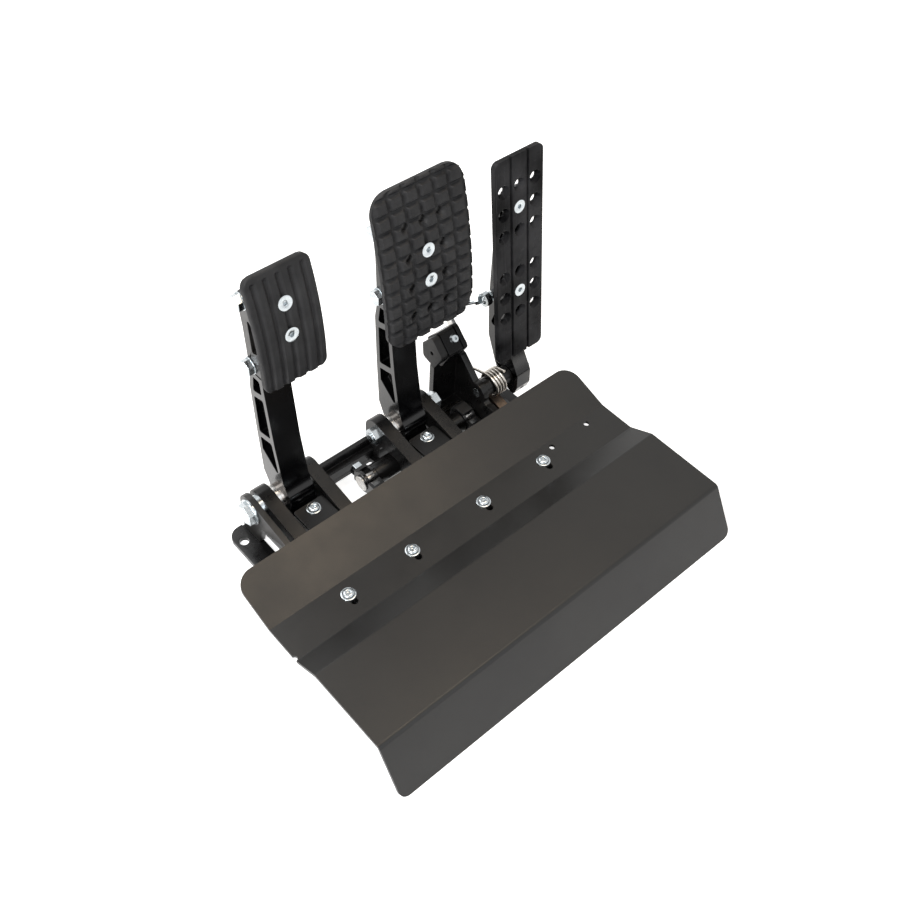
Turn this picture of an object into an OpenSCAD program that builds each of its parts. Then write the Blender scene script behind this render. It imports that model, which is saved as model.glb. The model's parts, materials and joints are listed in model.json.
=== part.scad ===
// Sim racing pedal set: clutch, brake and throttle on a floor frame behind a folded heel plate.
// X runs across the set from clutch to throttle, Y points away from the driver and Z is up.
// The floor is Z = 0 and the origin is the centre of the four floor bolts.

/* [Heel plate] */
// Width across all three pedals
heel_w = 400; // [390:5:420]
// Sheet thickness
heel_t = 3; // [2:0.5:3.5]
// Length of the panel that rises towards the pedals
heel_back_len = 53.4; // [46:0.2:55]
// Angle of that panel
heel_back_tilt = 18.3; // [17:0.1:20]
// Width of the flat band that carries the screws
heel_band_w = 37.7; // [34:0.1:42]
// Height of the top of the band
heel_band_z = 35; // [34.5:0.1:37]
// Rear fold of the band
heel_band_y = -32.3; // [-33.5:0.1:-31.5]
// Length of the step up to the heel rest
heel_step_len = 28.1; // [22:0.1:34]
// Angle of the step
heel_step_tilt = 26.4; // [22:0.1:32]
// Depth of the heel rest
heel_top_len = 80.9; // [70:0.1:95]
// Angle of the lip that comes down to the floor
heel_lip_tilt = 59; // [50:1:72]
// Corner radius of the sheet
heel_corner_r = 17; // [8:1:24]
// Outside radius of the folds
fold_r = 5; // [4.5:0.5:7]

/* [Floor frame] */
// Thickness of the floor plate
base_t = 5.5; // [4:0.5:5.5]
// Half of the width of the floor plate
base_half_w = 163; // [162:1:170]
// Front edge of the floor plate
base_front = -90; // [-96:1:-86]
// Rear edge of the floor plate
base_rear = 92; // [91.5:0.5:98]
// Corner radius of the floor plate
base_corner_r = 12; // [6:1:16]
// Spacing of the floor bolts across the set
floor_bolt_x = 310; // [306:1:312]
// Spacing of the floor bolts from front to rear
floor_bolt_y = 150; // [140:1:152]
// Diameter of the floor bolt holes
floor_hole_d = 9; // [6:0.5:9]
// Thickness of the upright pedal walls
wall_t = 13.5; // [12:0.5:14]
// Height of the walls at the rear
wall_top = 58.5; // [57:0.5:62]
// Thickness of the front beam
beam_t = 12; // [10:0.5:12]
// Rear face of the front beam
beam_rear = -40.5; // [-41:0.1:-40.1]

/* [Pedals] */
// Centre of the clutch pedal
clutch_x = -99.5; // [-100:0.5:-99]
// Centre of the brake pedal
brake_x = 33.5; // [33:0.5:34]
// Centre of the throttle pedal
throttle_x = 158.5; // [157.5:0.5:159.5]
// Clutch and brake pivot behind the floor bolt centre
pivot_y = 73; // [72.5:0.5:73.5]
// Height of all three pivots
pivot_z = 43; // [42.5:0.5:43.5]
// Throttle pivot behind the floor bolt centre
throttle_y = 54; // [53:0.5:55]
// Width of the clutch and brake arms
arm_w = 27; // [24:0.5:28]
// Diameter of the clutch pivot bolt
clutch_pin_d = 12; // [10:0.5:12]
// Diameter of the brake pivot bolt
brake_pin_d = 10; // [8:0.5:12]
// Diameter of the throttle pivot bolt
throttle_pin_d = 10; // [8:0.5:11]
// Outside diameter of the pivot bushes
bush_d = 18; // [16:0.5:20]

/* [Clutch pad] */
// Width of the clutch pad
clutch_pad_w = 59; // [52:1:66]
// Length of the clutch pad
clutch_pad_len = 106; // [96:1:110]
// Face radius of the clutch pad
clutch_pad_r = 270; // [230:5:400]
// Thickness of the clutch pad
clutch_pad_t = 5.5; // [5:0.5:8]
// Depth of the grooves in the clutch pad
groove_d = 2; // [1:0.5:2.5]

/* [Brake pad] */
// Width of the brake pad
brake_pad_w = 93; // [86:1:98]
// Length of the brake pad
brake_pad_len = 144; // [136:1:148]
// Face radius of the brake pad
brake_pad_r = 500; // [400:10:800]
// Thickness of the brake pad
brake_pad_t = 6; // [5:0.5:8]
// Depth of the tread between the blocks
tread_d = 2.5; // [1:0.5:3]

/* [Throttle plate] */
// Width of the throttle plate
throttle_w = 57; // [52:1:64]
// Length of the throttle plate
throttle_len = 216; // [190:1:225]
// Thickness of the throttle plate
throttle_t = 5.5; // [4.5:0.5:8]
// Angle of the throttle plate from upright
throttle_tilt = 7.7; // [7:0.1:8.5]

/* [Hydraulics] */
// Balance bar and clutch lug behind the floor bolt centre
bar_y = 54; // [53.5:0.5:54.5]
// Height of the balance bar and of the cylinders
bar_z = 15; // [14.5:0.5:15.5]
// Diameter of the balance bar
bar_d = 12; // [10:0.5:12]
// Outside diameter of the balance bar sleeve
sleeve_d = 22; // [21:0.5:23]
// Distance from the brake centre to each cylinder
cylinder_pitch = 61.5; // [61:0.5:62]
// Diameter of a cylinder barrel
barrel_d = 26; // [22:1:26]
// Front end of a cylinder barrel
barrel_front = -158; // [-162:1:-140]
// Diameter of a piston
piston_d = 12; // [11.5:0.5:13]
// Diameter of a pushrod
rod_d = 8; // [6:0.5:8]

/* [Throttle spring] */
// Wire diameter of the throttle spring
wire_d = 3; // [2:0.1:3]
// Mean radius of the coils
coil_r = 12.2; // [12:0.1:13]
// Distance between two coils
coil_pitch = 3.6; // [3.5:0.1:4]
// Number of coils
coils = 4; // [2:1:4]

/* [Hidden] */

$fn = 64;
cut = 0.5;
fit = 0.02;
run_fit = 0.05;
seat = 0.3;

// Colours of the finishes
black = [0.08, 0.08, 0.09];
grey = [0.30, 0.29, 0.28];
rubber = [0.16, 0.16, 0.17];
zinc = [0.82, 0.83, 0.85];
steel = [0.62, 0.62, 0.64];
bronze = [0.66, 0.52, 0.36];

// Bays between the walls: the gap beside each arm is wider on the left, where the rings sit
bay_left = 21;
bay_right = 15.5;
beam_front = beam_rear - beam_t;
beam_top = heel_band_z - heel_t;
wall_rear = 91;
wall_front_z = beam_top - 0.8;

// Fasteners: across flats, head height and radii
m6_r = 3;
m6_flange_r = 6.8;
m6_head_h = 3.6;
csk_head_r = 6.4;
csk_head_h = 3.4;
screw_tip_z = 25;
heel_screw_x = [-128.6, -57.6, 27.1, 103.6];
heel_screw_y = -46.5;
heel_slot_w = 6.6;
heel_slot_len = 15;
heel_hole_x = [122.5, 169.7];
heel_hole_y = -39.4;

// Rods meet their pistons here, inside the mouth of each cylinder
rod_tip_y = -42;
tip_gap = 0.5;
cylinder_x = [clutch_x, brake_x - cylinder_pitch, brake_x + cylinder_pitch];

// Side plate of the throttle bracket, beside the right cylinder, and the foot under it
bracket_x = [cylinder_x[2] + 13, cylinder_x[2] + 20];

// Pad faces: the middle point of each face and its lean away from the driver
clutch_pad_tilt = 9;
brake_pad_tilt = 10;
clutch_pad_mid = [50, 256.5];
brake_pad_mid = [45.2, 254.9];
clutch_pad_eye = clutch_pad_mid + clutch_pad_r * [cos(clutch_pad_tilt), -sin(clutch_pad_tilt)];
brake_pad_eye = brake_pad_mid + brake_pad_r * [cos(brake_pad_tilt), -sin(brake_pad_tilt)];
clutch_screw_s = [-7, 21];
brake_screw_s = [-19, 9];
bracket_bolt = [[93, 192], [95, 260]];
cheek_t = 6;
bracket_t = 6;

// Throttle plate: the middle point of its face and the screws along it
throttle_mid = [61.4, 179];
throttle_screw_s = [-33.5, 55.7];
throttle_arm_w = 18;

// Throttle linkage
sensor_y = 82;
sensor_z = 88;
stud = [81, 130];
lever_end = [107, 113];
link_x = throttle_x - 20.5;
// Sideways places of the sensor, of the lever on it and of the ball on the lever
sensor_x = [bracket_x[0] - 26, bracket_x[0] - 3];
lever_x = bracket_x[0] + 1;
far_x = bracket_x[0] + 9;
ball_r = 4;

function unit(v) = v / norm(v);

// Points of an arc of radius r that rounds the corner b between a and c
function corner(a, b, c, r, n) =
  let (
    u = unit(a - b),
    w = unit(c - b),
    half = acos(u * w) / 2,
    eye = b + unit(u + w) * r / sin(half),
    from = b + u * r / tan(half) - eye,
    to = b + w * r / tan(half) - eye
  )
  [for (i = [0:n]) eye + r * unit(from * (n - i) + to * i)];

// Closed outline from points given as [across, up, radius]
function rounded(points, n = 4) =
  let (last = len(points) - 1)
  [
    for (i = [0:last])
      let (
        a = points[i == 0 ? last : i - 1],
        b = points[i],
        c = points[i == last ? 0 : i + 1]
      )
      each (b[2] == 0
        ? [[b[0], b[1]]]
        : corner([a[0], a[1]], [b[0], b[1]], [c[0], c[1]], b[2], n))
  ];

// Side view outline, across in Y and up in Z, made t thick towards +X from x
module slab(x, t) {
  translate([x, 0, 0])
    rotate([90, 0, 90])
      linear_extrude(t)
        children();
}

module bar_along_x(x0, x1, y, z, r) {
  translate([x0, y, z])
    rotate([0, 90, 0])
      cylinder(r = r, h = x1 - x0);
}

module bar_along_y(x, y0, y1, z, r) {
  translate([x, y0, z])
    rotate([-90, 0, 0])
      cylinder(r = r, h = y1 - y0);
}

module hex_along_x(x0, x1, y, z, flats) {
  translate([x0, y, z])
    rotate([0, 90, 0])
      cylinder(d = flats / cos(30), h = x1 - x0, $fn = 6);
}

module hex_along_y(x, y0, y1, z, flats) {
  translate([x, y0, z])
    rotate([-90, 0, 0])
      cylinder(d = flats / cos(30), h = y1 - y0, $fn = 6);
}

module box(x, y, z) {
  translate([x[0], y[0], z[0]])
    cube([x[1] - x[0], y[1] - y[0], z[1] - z[0]]);
}

// Rectangle centred on the origin with round corners
module round_rect(w, h, r) {
  square([w - 2 * r, h], center = true);
  square([w, h - 2 * r], center = true);
  for (x = [-1, 1], y = [-1, 1])
    translate([x * (w / 2 - r), y * (h / 2 - r)])
      circle(r);
}

module round_window(x, y, r) {
  translate([(x[0] + x[1]) / 2, (y[0] + y[1]) / 2])
    round_rect(x[1] - x[0], y[1] - y[0], r);
}

// Flanged button head screw with its seat at the origin and its shank down -Z
module button_screw(len) {
  difference() {
    union() {
      cylinder(r = m6_flange_r, h = 1);
      translate([0, 0, 1])
        cylinder(r1 = 5.4, r2 = 3.4, h = m6_head_h - 1);
      translate([0, 0, -len])
        cylinder(r = m6_r, h = len + cut);
    }
    translate([0, 0, m6_head_h - 2])
      cylinder(d = 4 / cos(30), h = 3, $fn = 6);
  }
}

// Countersunk screw with the face of its head at the origin and its shank along +Y
module flush_screw(len) {
  rotate([-90, 0, 0])
    difference() {
      union() {
        cylinder(r1 = csk_head_r, r2 = m6_r, h = csk_head_h);
        cylinder(r = m6_r, h = len);
      }
      translate([0, 0, -1])
        cylinder(d = 4 / cos(30), h = 3.2, $fn = 6);
    }
}

// Countersunk hole for that screw, cut from the face towards +Y
module flush_hole(depth) {
  rotate([-90, 0, 0]) {
    translate([0, 0, -0.2])
      cylinder(r1 = csk_head_r + 0.4, r2 = m6_r + 0.2, h = csk_head_h + 0.2);
    translate([0, 0, -1])
      cylinder(r = m6_r + 0.2, h = depth + 1);
  }
}

// Place something on a curved pad face, s along it from the middle, +Y going into the pad
module on_face(eye, r, tilt, s, x) {
  translate([x, eye[0], eye[1]])
    rotate([-tilt - s / r * 180 / PI, 0, 0])
      translate([0, -r, 0])
        children();
}

// Curved shell around the eye line of a pad face, between two radii
module face_shell(eye, r_out, r_in, x0, x1) {
  $fn = 360;
  difference() {
    bar_along_x(x0, x1, eye[0], eye[1], r_out);
    bar_along_x(x0 - 1, x1 + 1, eye[0], eye[1], r_in);
  }
}

// Front view outline standing on the lean of a pad, deep enough for any pad
module leaning(mid, tilt, x) {
  translate([x, mid[0], mid[1]])
    rotate([-tilt, 0, 0])
      rotate([90, 0, 0])
        linear_extrude(90, center = true)
          children();
}

module curved_plate(x, mid, tilt, eye, r, t, w, len, corner_r) {
  intersection() {
    face_shell(eye, r, r - t, x - w / 2 - 1, x + w / 2 + 1);
    leaning(mid, tilt, x)
      round_rect(w, len, corner_r);
  }
}

// Top line of the heel plate, from its rear edge to the floor
heel_fold_1 = [heel_band_y, heel_band_z];
heel_fold_2 = heel_fold_1 - [heel_band_w, 0];
heel_fold_3 = heel_fold_2 + heel_step_len * [-cos(heel_step_tilt), sin(heel_step_tilt)];
heel_fold_4 = heel_fold_3 - [heel_top_len, 0];
heel_rear = heel_fold_1 + heel_back_len * [cos(heel_back_tilt), sin(heel_back_tilt)];
heel_foot = [heel_fold_4[0] - heel_fold_4[1] / tan(heel_lip_tilt), 0];
heel_line = [heel_rear, heel_fold_1, heel_fold_2, heel_fold_3, heel_fold_4, heel_foot];

// Unit step across the sheet, towards its underside, for the run that starts at point i
function sheet_side(i) =
  let (d = unit(heel_line[i + 1] - heel_line[i]))
  [-d[1], d[0]];

function sheet_under(i) =
  let (a = sheet_side(i - 1), b = sheet_side(i))
  heel_line[i] + heel_t * (a + b) / (1 + a * b);

module heel_section() {
  inner_r = fold_r - heel_t;
  top = [
    [heel_rear[0], heel_rear[1], 0],
    [heel_fold_1[0], heel_fold_1[1], inner_r],
    [heel_fold_2[0], heel_fold_2[1], inner_r],
    [heel_fold_3[0], heel_fold_3[1], fold_r],
    [heel_fold_4[0], heel_fold_4[1], fold_r],
    [heel_foot[0], heel_foot[1], 0]
  ];
  under_rear = heel_rear + heel_t * sheet_side(0);
  under = [
    [heel_foot[0] + heel_t / sin(heel_lip_tilt), 0, 0],
    [sheet_under(4)[0], sheet_under(4)[1], inner_r],
    [sheet_under(3)[0], sheet_under(3)[1], inner_r],
    [sheet_under(2)[0], sheet_under(2)[1], fold_r],
    [sheet_under(1)[0], sheet_under(1)[1], fold_r],
    [under_rear[0], under_rear[1], 0]
  ];
  polygon(rounded(concat(top, under)));
}

// What a round corner takes off a sheet whose corner is the origin
module corner_waste(r) {
  linear_extrude(20, center = true)
    difference() {
      translate([-r, -r])
        square(r + 1);
      translate([-r, -r])
        circle(r);
    }
}

module heel_plate() {
  color(grey)
    difference() {
      slab(-heel_w / 2, heel_w)
        heel_section();
      for (side = [0, 1])
        mirror([side, 0, 0]) {
          translate([heel_w / 2, heel_rear[0], heel_rear[1]])
            rotate([heel_back_tilt, 0, 0])
              corner_waste(heel_corner_r);
          translate([heel_w / 2, heel_foot[0], heel_foot[1]])
            rotate([180 + heel_lip_tilt, 0, 0])
              corner_waste(heel_corner_r / 2);
        }
      for (x = heel_screw_x)
        translate([x, heel_screw_y + heel_slot_w / 2 - heel_slot_len / 2, heel_band_z])
          linear_extrude(20, center = true)
            round_rect(heel_slot_w, heel_slot_len, heel_slot_w / 2 - 0.01);
      for (x = heel_hole_x)
        translate([x, heel_hole_y, 0])
          cylinder(d = 5.8, h = heel_band_z + 5);
      // Half round nick in the left edge at the fold of the step
      translate([-heel_w / 2, heel_fold_2[0] + 3, 0])
        cylinder(r = 2.6, h = heel_band_z + 10);
    }
}

module heel_plate_screws() {
  color(zinc)
    for (x = heel_screw_x)
      translate([x, heel_screw_y, heel_band_z])
        button_screw(heel_band_z - screw_tip_z);
}

// Positions of the screws that come up through the floor plate
wall_x = [
  clutch_x - bay_left - wall_t, clutch_x + bay_right,
  brake_x - bay_left - wall_t, brake_x + bay_right
];
wall_screw_y = [-22, 81];
beam_screw_x = [-115, -60, 0, 60, 118];
rail_screw_x = [-56, -16];
base_screw_places = concat(
  [for (x = wall_x, y = wall_screw_y) [x + wall_t / 2, y]],
  [for (x = beam_screw_x) [x, heel_screw_y]],
  [for (x = rail_screw_x) [x, 84]],
  [for (y = [0, 84]) [bracket_x[1] + 4.5, y]],
  [[wall_x[3] + wall_t + 7.5, 84]]
);
base_screw_top = 14;

module base_screw_holes() {
  for (p = base_screw_places)
    translate([p[0], p[1], -cut])
      cylinder(r = m6_r + fit, h = base_screw_top + cut);
}

module base_screws() {
  color(steel)
    for (p = base_screw_places)
      translate([p[0], p[1], 0])
        difference() {
          union() {
            cylinder(r1 = csk_head_r, r2 = m6_r, h = csk_head_h);
            cylinder(r = m6_r, h = base_screw_top - 0.5);
          }
          translate([0, 0, -1])
            cylinder(d = 4 / cos(30), h = 3.2, $fn = 6);
        }
}

// Through windows of the floor plate: [x from, x to], [y from, y to], corner radius
slot_x = [-139.5, -134];
mid_window_x = [-66, -5];
right_window_x = [wall_x[3] + wall_t + 3.5, bracket_x[0] - 3.5];
right_slot_x = [bracket_x[1] + 23, bracket_x[1] + 37];
bar_channel_y = [bar_y - 16, bar_y + 15];
base_windows = [
  [slot_x, [beam_rear + 8, 86], 2.5],
  [[clutch_x - bay_left + 2, clutch_x + bay_right - 2], [beam_rear, 75], 4],
  [mid_window_x, [beam_rear, 79], 2],
  [[brake_x - bay_left + 2, brake_x + bay_right - 2], [beam_rear, 75], 4],
  [right_window_x, [beam_rear, 77], 6],
  [right_slot_x, [beam_rear + 4.5, 58], 4],
  [[mid_window_x[0], right_window_x[1]], bar_channel_y, 2]
];

module base_plate() {
  color(black)
    difference() {
      linear_extrude(base_t)
        difference() {
          round_window([-base_half_w, base_half_w], [base_front, base_rear], base_corner_r);
          for (x = [-0.5, 0.5], y = [-0.5, 0.5])
            translate([x * floor_bolt_x, y * floor_bolt_y])
              circle(d = floor_hole_d);
          for (w = base_windows)
            round_window(w[0], w[1], w[2]);
          for (x = cylinder_x)
            translate([x - barrel_d / 2 - 1.5, base_front - 1])
              square([barrel_d + 3, beam_front - base_front + 1]);
        }
      for (p = base_screw_places)
        translate([p[0], p[1], 0]) {
          translate([0, 0, -0.01])
            cylinder(r1 = csk_head_r + 0.1, r2 = m6_r + 0.1, h = csk_head_h + 0.01);
          cylinder(r = m6_r + 0.1, h = base_t + cut);
        }
      // Lowered strip beside the left flange
      box([-146, rail_x + rail_t + seat], [beam_rear, base_rear + cut], [base_t - 2, base_t + cut]);
    }
}

module front_beam() {
  color(black)
    difference() {
      box([rail_x, foot_x[1] + 4], [beam_front, beam_rear], [base_t, beam_top]);
      for (x = cylinder_x)
        bar_along_y(x, beam_front - cut, beam_rear + cut, bar_z, spigot_r + fit);
      for (x = cylinder_x, side = [-1, 1])
        bar_along_y(x + side * cylinder_bolt_x, beam_front - cut, beam_rear - 2, bar_z + 2, 2.5 + fit);
      for (x = heel_screw_x)
        translate([x, heel_screw_y, screw_tip_z - 1])
          cylinder(r = m6_r + fit, h = 20);
      base_screw_holes();
    }
}

module rear_rail() {
  color(black)
    difference() {
      slab(wall_x[1] + wall_t, wall_x[2] - wall_x[1] - wall_t)
        polygon([
          [79, base_t], [wall_rear, base_t], [wall_rear, 25], [86, 25], [86, 16], [79, 16]
        ]);
      base_screw_holes();
    }
}

// Side view of a wall, cut away below for the balance bar sleeve where barred is true
module wall_profile(barred) {
  difference() {
    polygon(rounded([
      [beam_rear, base_t, 0],
      [wall_rear, base_t, 0],
      [wall_rear, wall_top, 14],
      [22, 46, 4],
      [heel_band_y, wall_front_z, 0],
      [beam_rear, wall_front_z, 0]
    ], 8));
    if (barred)
      translate([(bar_channel_y[0] + bar_channel_y[1]) / 2, base_t])
        round_rect(bar_channel_y[1] - bar_channel_y[0], 52, 8);
  }
}

module wall(x, barred, pin_d) {
  color(black)
    difference() {
      slab(x, wall_t)
        wall_profile(barred);
      bar_along_x(x - cut, x + wall_t + cut, pivot_y, pivot_z, pin_d / 2 + fit);
      base_screw_holes();
    }
}

module clutch_wall_left() wall(wall_x[0], false, clutch_pin_d);

module clutch_wall_right() wall(wall_x[1], false, clutch_pin_d);

module brake_wall_left() wall(wall_x[2], true, brake_pin_d);

module brake_wall_right() wall(wall_x[3], true, brake_pin_d);

// The side rail stands outside the clutch wall, one spacer away from it
rail_t = 6;
spacer_t = 4;
rail_x = wall_x[0] - spacer_t - rail_t;

module side_rail() {
  color(grey)
    difference() {
      slab(rail_x, rail_t)
        polygon(rounded([
          [beam_rear, base_t, 0],
          [-24, base_t, 0],
          [-24, 19, 4],
          [27, 38.5, 8],
          [60, 29, 6],
          [66, base_t - 2, 0],
          [91.4, base_t - 2, 0],
          [91.4, wall_top, 14],
          [22, 46, 4],
          [heel_band_y, wall_front_z, 0],
          [beam_rear, wall_front_z, 0]
        ], 8));
      bar_along_x(rail_x - cut, rail_x + rail_t + cut, pivot_y, pivot_z, clutch_pin_d / 2 + fit);
    }
}

module pivot_spacer() {
  color(zinc)
    difference() {
      bar_along_x(rail_x + rail_t, wall_x[0], pivot_y, pivot_z, 12);
      bar_along_x(rail_x, wall_x[0] + cut, pivot_y, pivot_z, clutch_pin_d / 2 + fit);
    }
}

throttle_arm_x = throttle_x - throttle_arm_w / 2;
throttle_end_x = throttle_arm_x + throttle_arm_w + seat;

module pivot_bolts() {
  color(zinc) {
    // Clutch, with a flanged head against the side rail
    bar_along_x(rail_x, wall_x[1] + wall_t - 1, pivot_y, pivot_z, clutch_pin_d / 2);
    bar_along_x(rail_x - 2, rail_x, pivot_y, pivot_z, 13);
    hex_along_x(rail_x - 8, rail_x - 2, pivot_y, pivot_z, 19);
    // Brake, with its head on the throttle side
    bar_along_x(wall_x[2] - 9, wall_x[3] + wall_t, pivot_y, pivot_z, brake_pin_d / 2);
    bar_along_x(wall_x[3] + wall_t, wall_x[3] + wall_t + 2, pivot_y, pivot_z, 10.5);
    hex_along_x(wall_x[3] + wall_t + 2, wall_x[3] + wall_t + 10, pivot_y, pivot_z, 16);
    // Throttle, screwed into the bracket from the outside
    bar_along_x(bracket_x[0], throttle_end_x, throttle_y, pivot_z, throttle_pin_d / 2);
    bar_along_x(throttle_end_x, throttle_end_x + 1, throttle_y, pivot_z, 9);
    hex_along_x(throttle_end_x + 1, throttle_end_x + 6, throttle_y, pivot_z, 15);
  }
}

module brake_pivot_nut() {
  color(zinc)
    difference() {
      hex_along_x(wall_x[2] - 7.5, wall_x[2], pivot_y, pivot_z, 15);
      bar_along_x(wall_x[2] - 8, wall_x[2] + cut, pivot_y, pivot_z, brake_pin_d / 2 + fit);
    }
}

ring_r = 12.5;

module ring(x0, x1, r, bore) {
  difference() {
    bar_along_x(x0, x1, pivot_y, pivot_z, r);
    bar_along_x(x0 - cut, x1 + cut, pivot_y, pivot_z, bore);
  }
}

module thrust_rings() {
  color(steel)
    for (p = [[clutch_x, clutch_pin_d], [brake_x, brake_pin_d]]) {
      ring(p[0] - bay_left, p[0] - bay_left + 3.4, ring_r, p[1] / 2 + fit);
      ring(p[0] + arm_w / 2 + seat, p[0] + bay_right, ring_r, p[1] / 2 + fit);
    }
}

module bush(x, pin_d) {
  color(bronze) {
    ring(x - arm_w / 2, x + arm_w / 2, bush_d / 2, pin_d / 2 + run_fit);
    ring(x - bay_left + 3.4 + seat, x - arm_w / 2, ring_r - 1, pin_d / 2 + run_fit);
  }
}

module clutch_bush() bush(clutch_x, clutch_pin_d);

module brake_bush() bush(brake_x, brake_pin_d);

stop_t = 3;
stop_top = 44;

module stop_plate(x) {
  color(grey)
    difference() {
      union() {
        box([x - bay_left, x + bay_right], [28, 46], [34.5, stop_top - stop_t]);
        translate([0, 0, stop_top - stop_t])
          linear_extrude(stop_t)
            round_window([x - 17.5, x + bay_right - 0.5], [14, 48], 3);
      }
      translate([x - 0.5, 40, 30])
        cylinder(r = m6_r + fit, h = 20);
    }
}

module clutch_stop_plate() stop_plate(clutch_x);

module brake_stop_plate() stop_plate(brake_x);

module stop_plate_screws() {
  color(zinc)
    for (x = [clutch_x, brake_x])
      translate([x - 0.5, 40, stop_top])
        button_screw(9);
}

// Front and rear edges of an arm, as [height, distance behind the floor bolt centre]
arm_front = [[62.3, 65], [106, 72.5], [172, 79.3], [184, 80]];
arm_rear = [[56, 96], [106, 98.9], [163, 100.7], [184, 97]];
arm_top = 184;
hub_r = 16.5;
rim = 5;
web = 9;

// Heights of the pockets in an arm: front from, front to, rear from, rear to
arm_pockets = [[70, 107, 88, 103], [114, 157, 110, 153], [164, 178, 160, 178]];

function front_y(z) = lookup(z, arm_front);

function rear_y(z) = lookup(z, arm_rear);

module pocket(p) {
  polygon(rounded([
    [front_y(p[0]) + rim, p[0], 1.5],
    [rear_y(p[2]) - rim, p[2], 1.5],
    [rear_y(p[3]) - rim, p[3], 1.5],
    [front_y(p[1]) + rim, p[1], 1.5]
  ]));
}

module arm_profile(lug_r) {
  along = unit([bar_y - pivot_y, bar_z - pivot_z]);
  aside = [-along[1], along[0]] * 8;
  pivot = [pivot_y, pivot_z];
  lug = [bar_y, bar_z];
  polygon([
    [59, 51],
    [arm_front[0][1], arm_front[0][0]],
    [arm_front[1][1], arm_front[1][0]],
    [arm_front[2][1], arm_front[2][0]],
    [arm_front[3][1], arm_front[3][0]],
    [arm_rear[3][1], arm_rear[3][0]],
    [arm_rear[2][1], arm_rear[2][0]],
    [arm_rear[1][1], arm_rear[1][0]],
    [arm_rear[0][1], arm_rear[0][0]],
    [87, 38]
  ]);
  translate(pivot)
    circle(hub_r);
  polygon([pivot + aside, lug + aside, lug - aside, pivot - aside]);
  translate(lug)
    circle(lug_r);
}

// Narrow tongue above the arm, which carries the pad bracket
module arm_tongue(x) {
  slab(x - arm_w / 2 + cheek_t + seat / 2, arm_w - 2 * cheek_t - seat)
    polygon(rounded([[84, arm_top - cut, 0], [101, arm_top - cut, 0], [103, 268, 6], [86, 268, 6]]));
}

module arm(x, lug_r, lug_bore) {
  difference() {
    union() {
      slab(x - arm_w / 2, arm_w)
        arm_profile(lug_r);
      arm_tongue(x);
    }
    for (p = arm_pockets, side = [-1, 1])
      slab(x + side * (arm_w / 2 + cut) - web * (side + 1) / 2, web)
        pocket(p);
    bar_along_x(x - arm_w, x + arm_w, pivot_y, pivot_z, bush_d / 2 + fit);
    bar_along_x(x - arm_w, x + arm_w, bar_y, bar_z, lug_bore);
    for (b = bracket_bolt)
      bar_along_x(x - arm_w, x + arm_w, b[0], b[1], 4 + fit);
  }
}

lug_pin_r = 4;
rod_eye_r = 9;

module clutch_arm() {
  color(black)
    difference() {
      arm(clutch_x, 11, lug_pin_r + fit);
      // Fork slot for the eye of the pushrod
      box([clutch_x - 6, clutch_x + 6], [bar_y - 30, bar_y + 13], [0, pivot_z - hub_r]);
    }
}

module brake_arm() {
  color(black)
    arm(brake_x, sleeve_d / 2 + 2.5, sleeve_d / 2 + fit);
}

module clutch_lug_pin() {
  color(steel)
    bar_along_x(clutch_x - 13, clutch_x + 13, bar_y, bar_z, lug_pin_r);
}

// Outline of a bracket cheek before the pad side is cut to the curve of the pad
module cheek_outline() {
  polygon(rounded([
    [40, 208, 0], [64, 187, 2], [97, arm_top + 0.5, 2], [99, 230, 0],
    [103, 262, 7], [97, 270, 6], [40, 284, 0]
  ]));
}

module cheek_openings() {
  polygon(rounded([[91, 246, 1.5], [89, 208, 1.5], [72, 216, 1.5]]));
  polygon(rounded([[69, 262, 1.5], [86, 257, 1.5], [68, 224, 1.5]]));
  polygon(rounded([[67, 207, 1.5], [82, 200, 1.5], [79, 190, 1.5], [67, 191, 1.5]]));
}

module pad_bracket(x, mid, tilt, eye, pad_r, pad_t, plate_w, plate_len, screw_s) {
  r = pad_r - pad_t;
  difference() {
    union() {
      for (cheek_x = [x - arm_w / 2, x + arm_w / 2 - cheek_t])
        slab(cheek_x, cheek_t)
          intersection() {
            cheek_outline();
            difference() {
              // The cheeks end half way into the curved plate
              translate(eye)
                circle(r - bracket_t / 2);
              cheek_openings();
            }
          }
      curved_plate(x, mid, tilt, eye, r, bracket_t, plate_w, plate_len, 6);
    }
    for (b = bracket_bolt)
      bar_along_x(x - arm_w, x + arm_w, b[0], b[1], 4 + fit);
    for (s = screw_s)
      on_face(eye, pad_r, tilt, s, x)
        translate([0, pad_t - 1, 0])
          rotate([-90, 0, 0])
            cylinder(r = m6_r + fit, h = bracket_t + 3);
  }
}

module clutch_pad_bracket() {
  color(grey)
    pad_bracket(clutch_x, clutch_pad_mid, clutch_pad_tilt, clutch_pad_eye, clutch_pad_r, clutch_pad_t,
      40, 84, clutch_screw_s);
}

module brake_pad_bracket() {
  color(grey)
    pad_bracket(brake_x, brake_pad_mid, brake_pad_tilt, brake_pad_eye, brake_pad_r, brake_pad_t,
      66, 118, brake_screw_s);
}

module bracket_bolts(x) {
  color(zinc)
    for (b = bracket_bolt) {
      bar_along_x(x - arm_w / 2, x + arm_w / 2 + 7, b[0], b[1], 4);
      bar_along_x(x - arm_w / 2 - 1.4, x - arm_w / 2, b[0], b[1], 8);
      hex_along_x(x - arm_w / 2 - 6.6, x - arm_w / 2 - 1.4, b[0], b[1], 13);
      difference() {
        hex_along_x(x + arm_w / 2, x + arm_w / 2 + 6.2, b[0], b[1], 13);
        bar_along_x(x + arm_w / 2 - cut, x + arm_w / 2 + 7, b[0], b[1], 4 - fit);
      }
    }
}

module clutch_pad_bolts() bracket_bolts(clutch_x);

module brake_pad_bolts() bracket_bolts(brake_x);

clutch_groove_x = [-22, -11, 0, 11, 22];
groove_w = 3;

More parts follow.
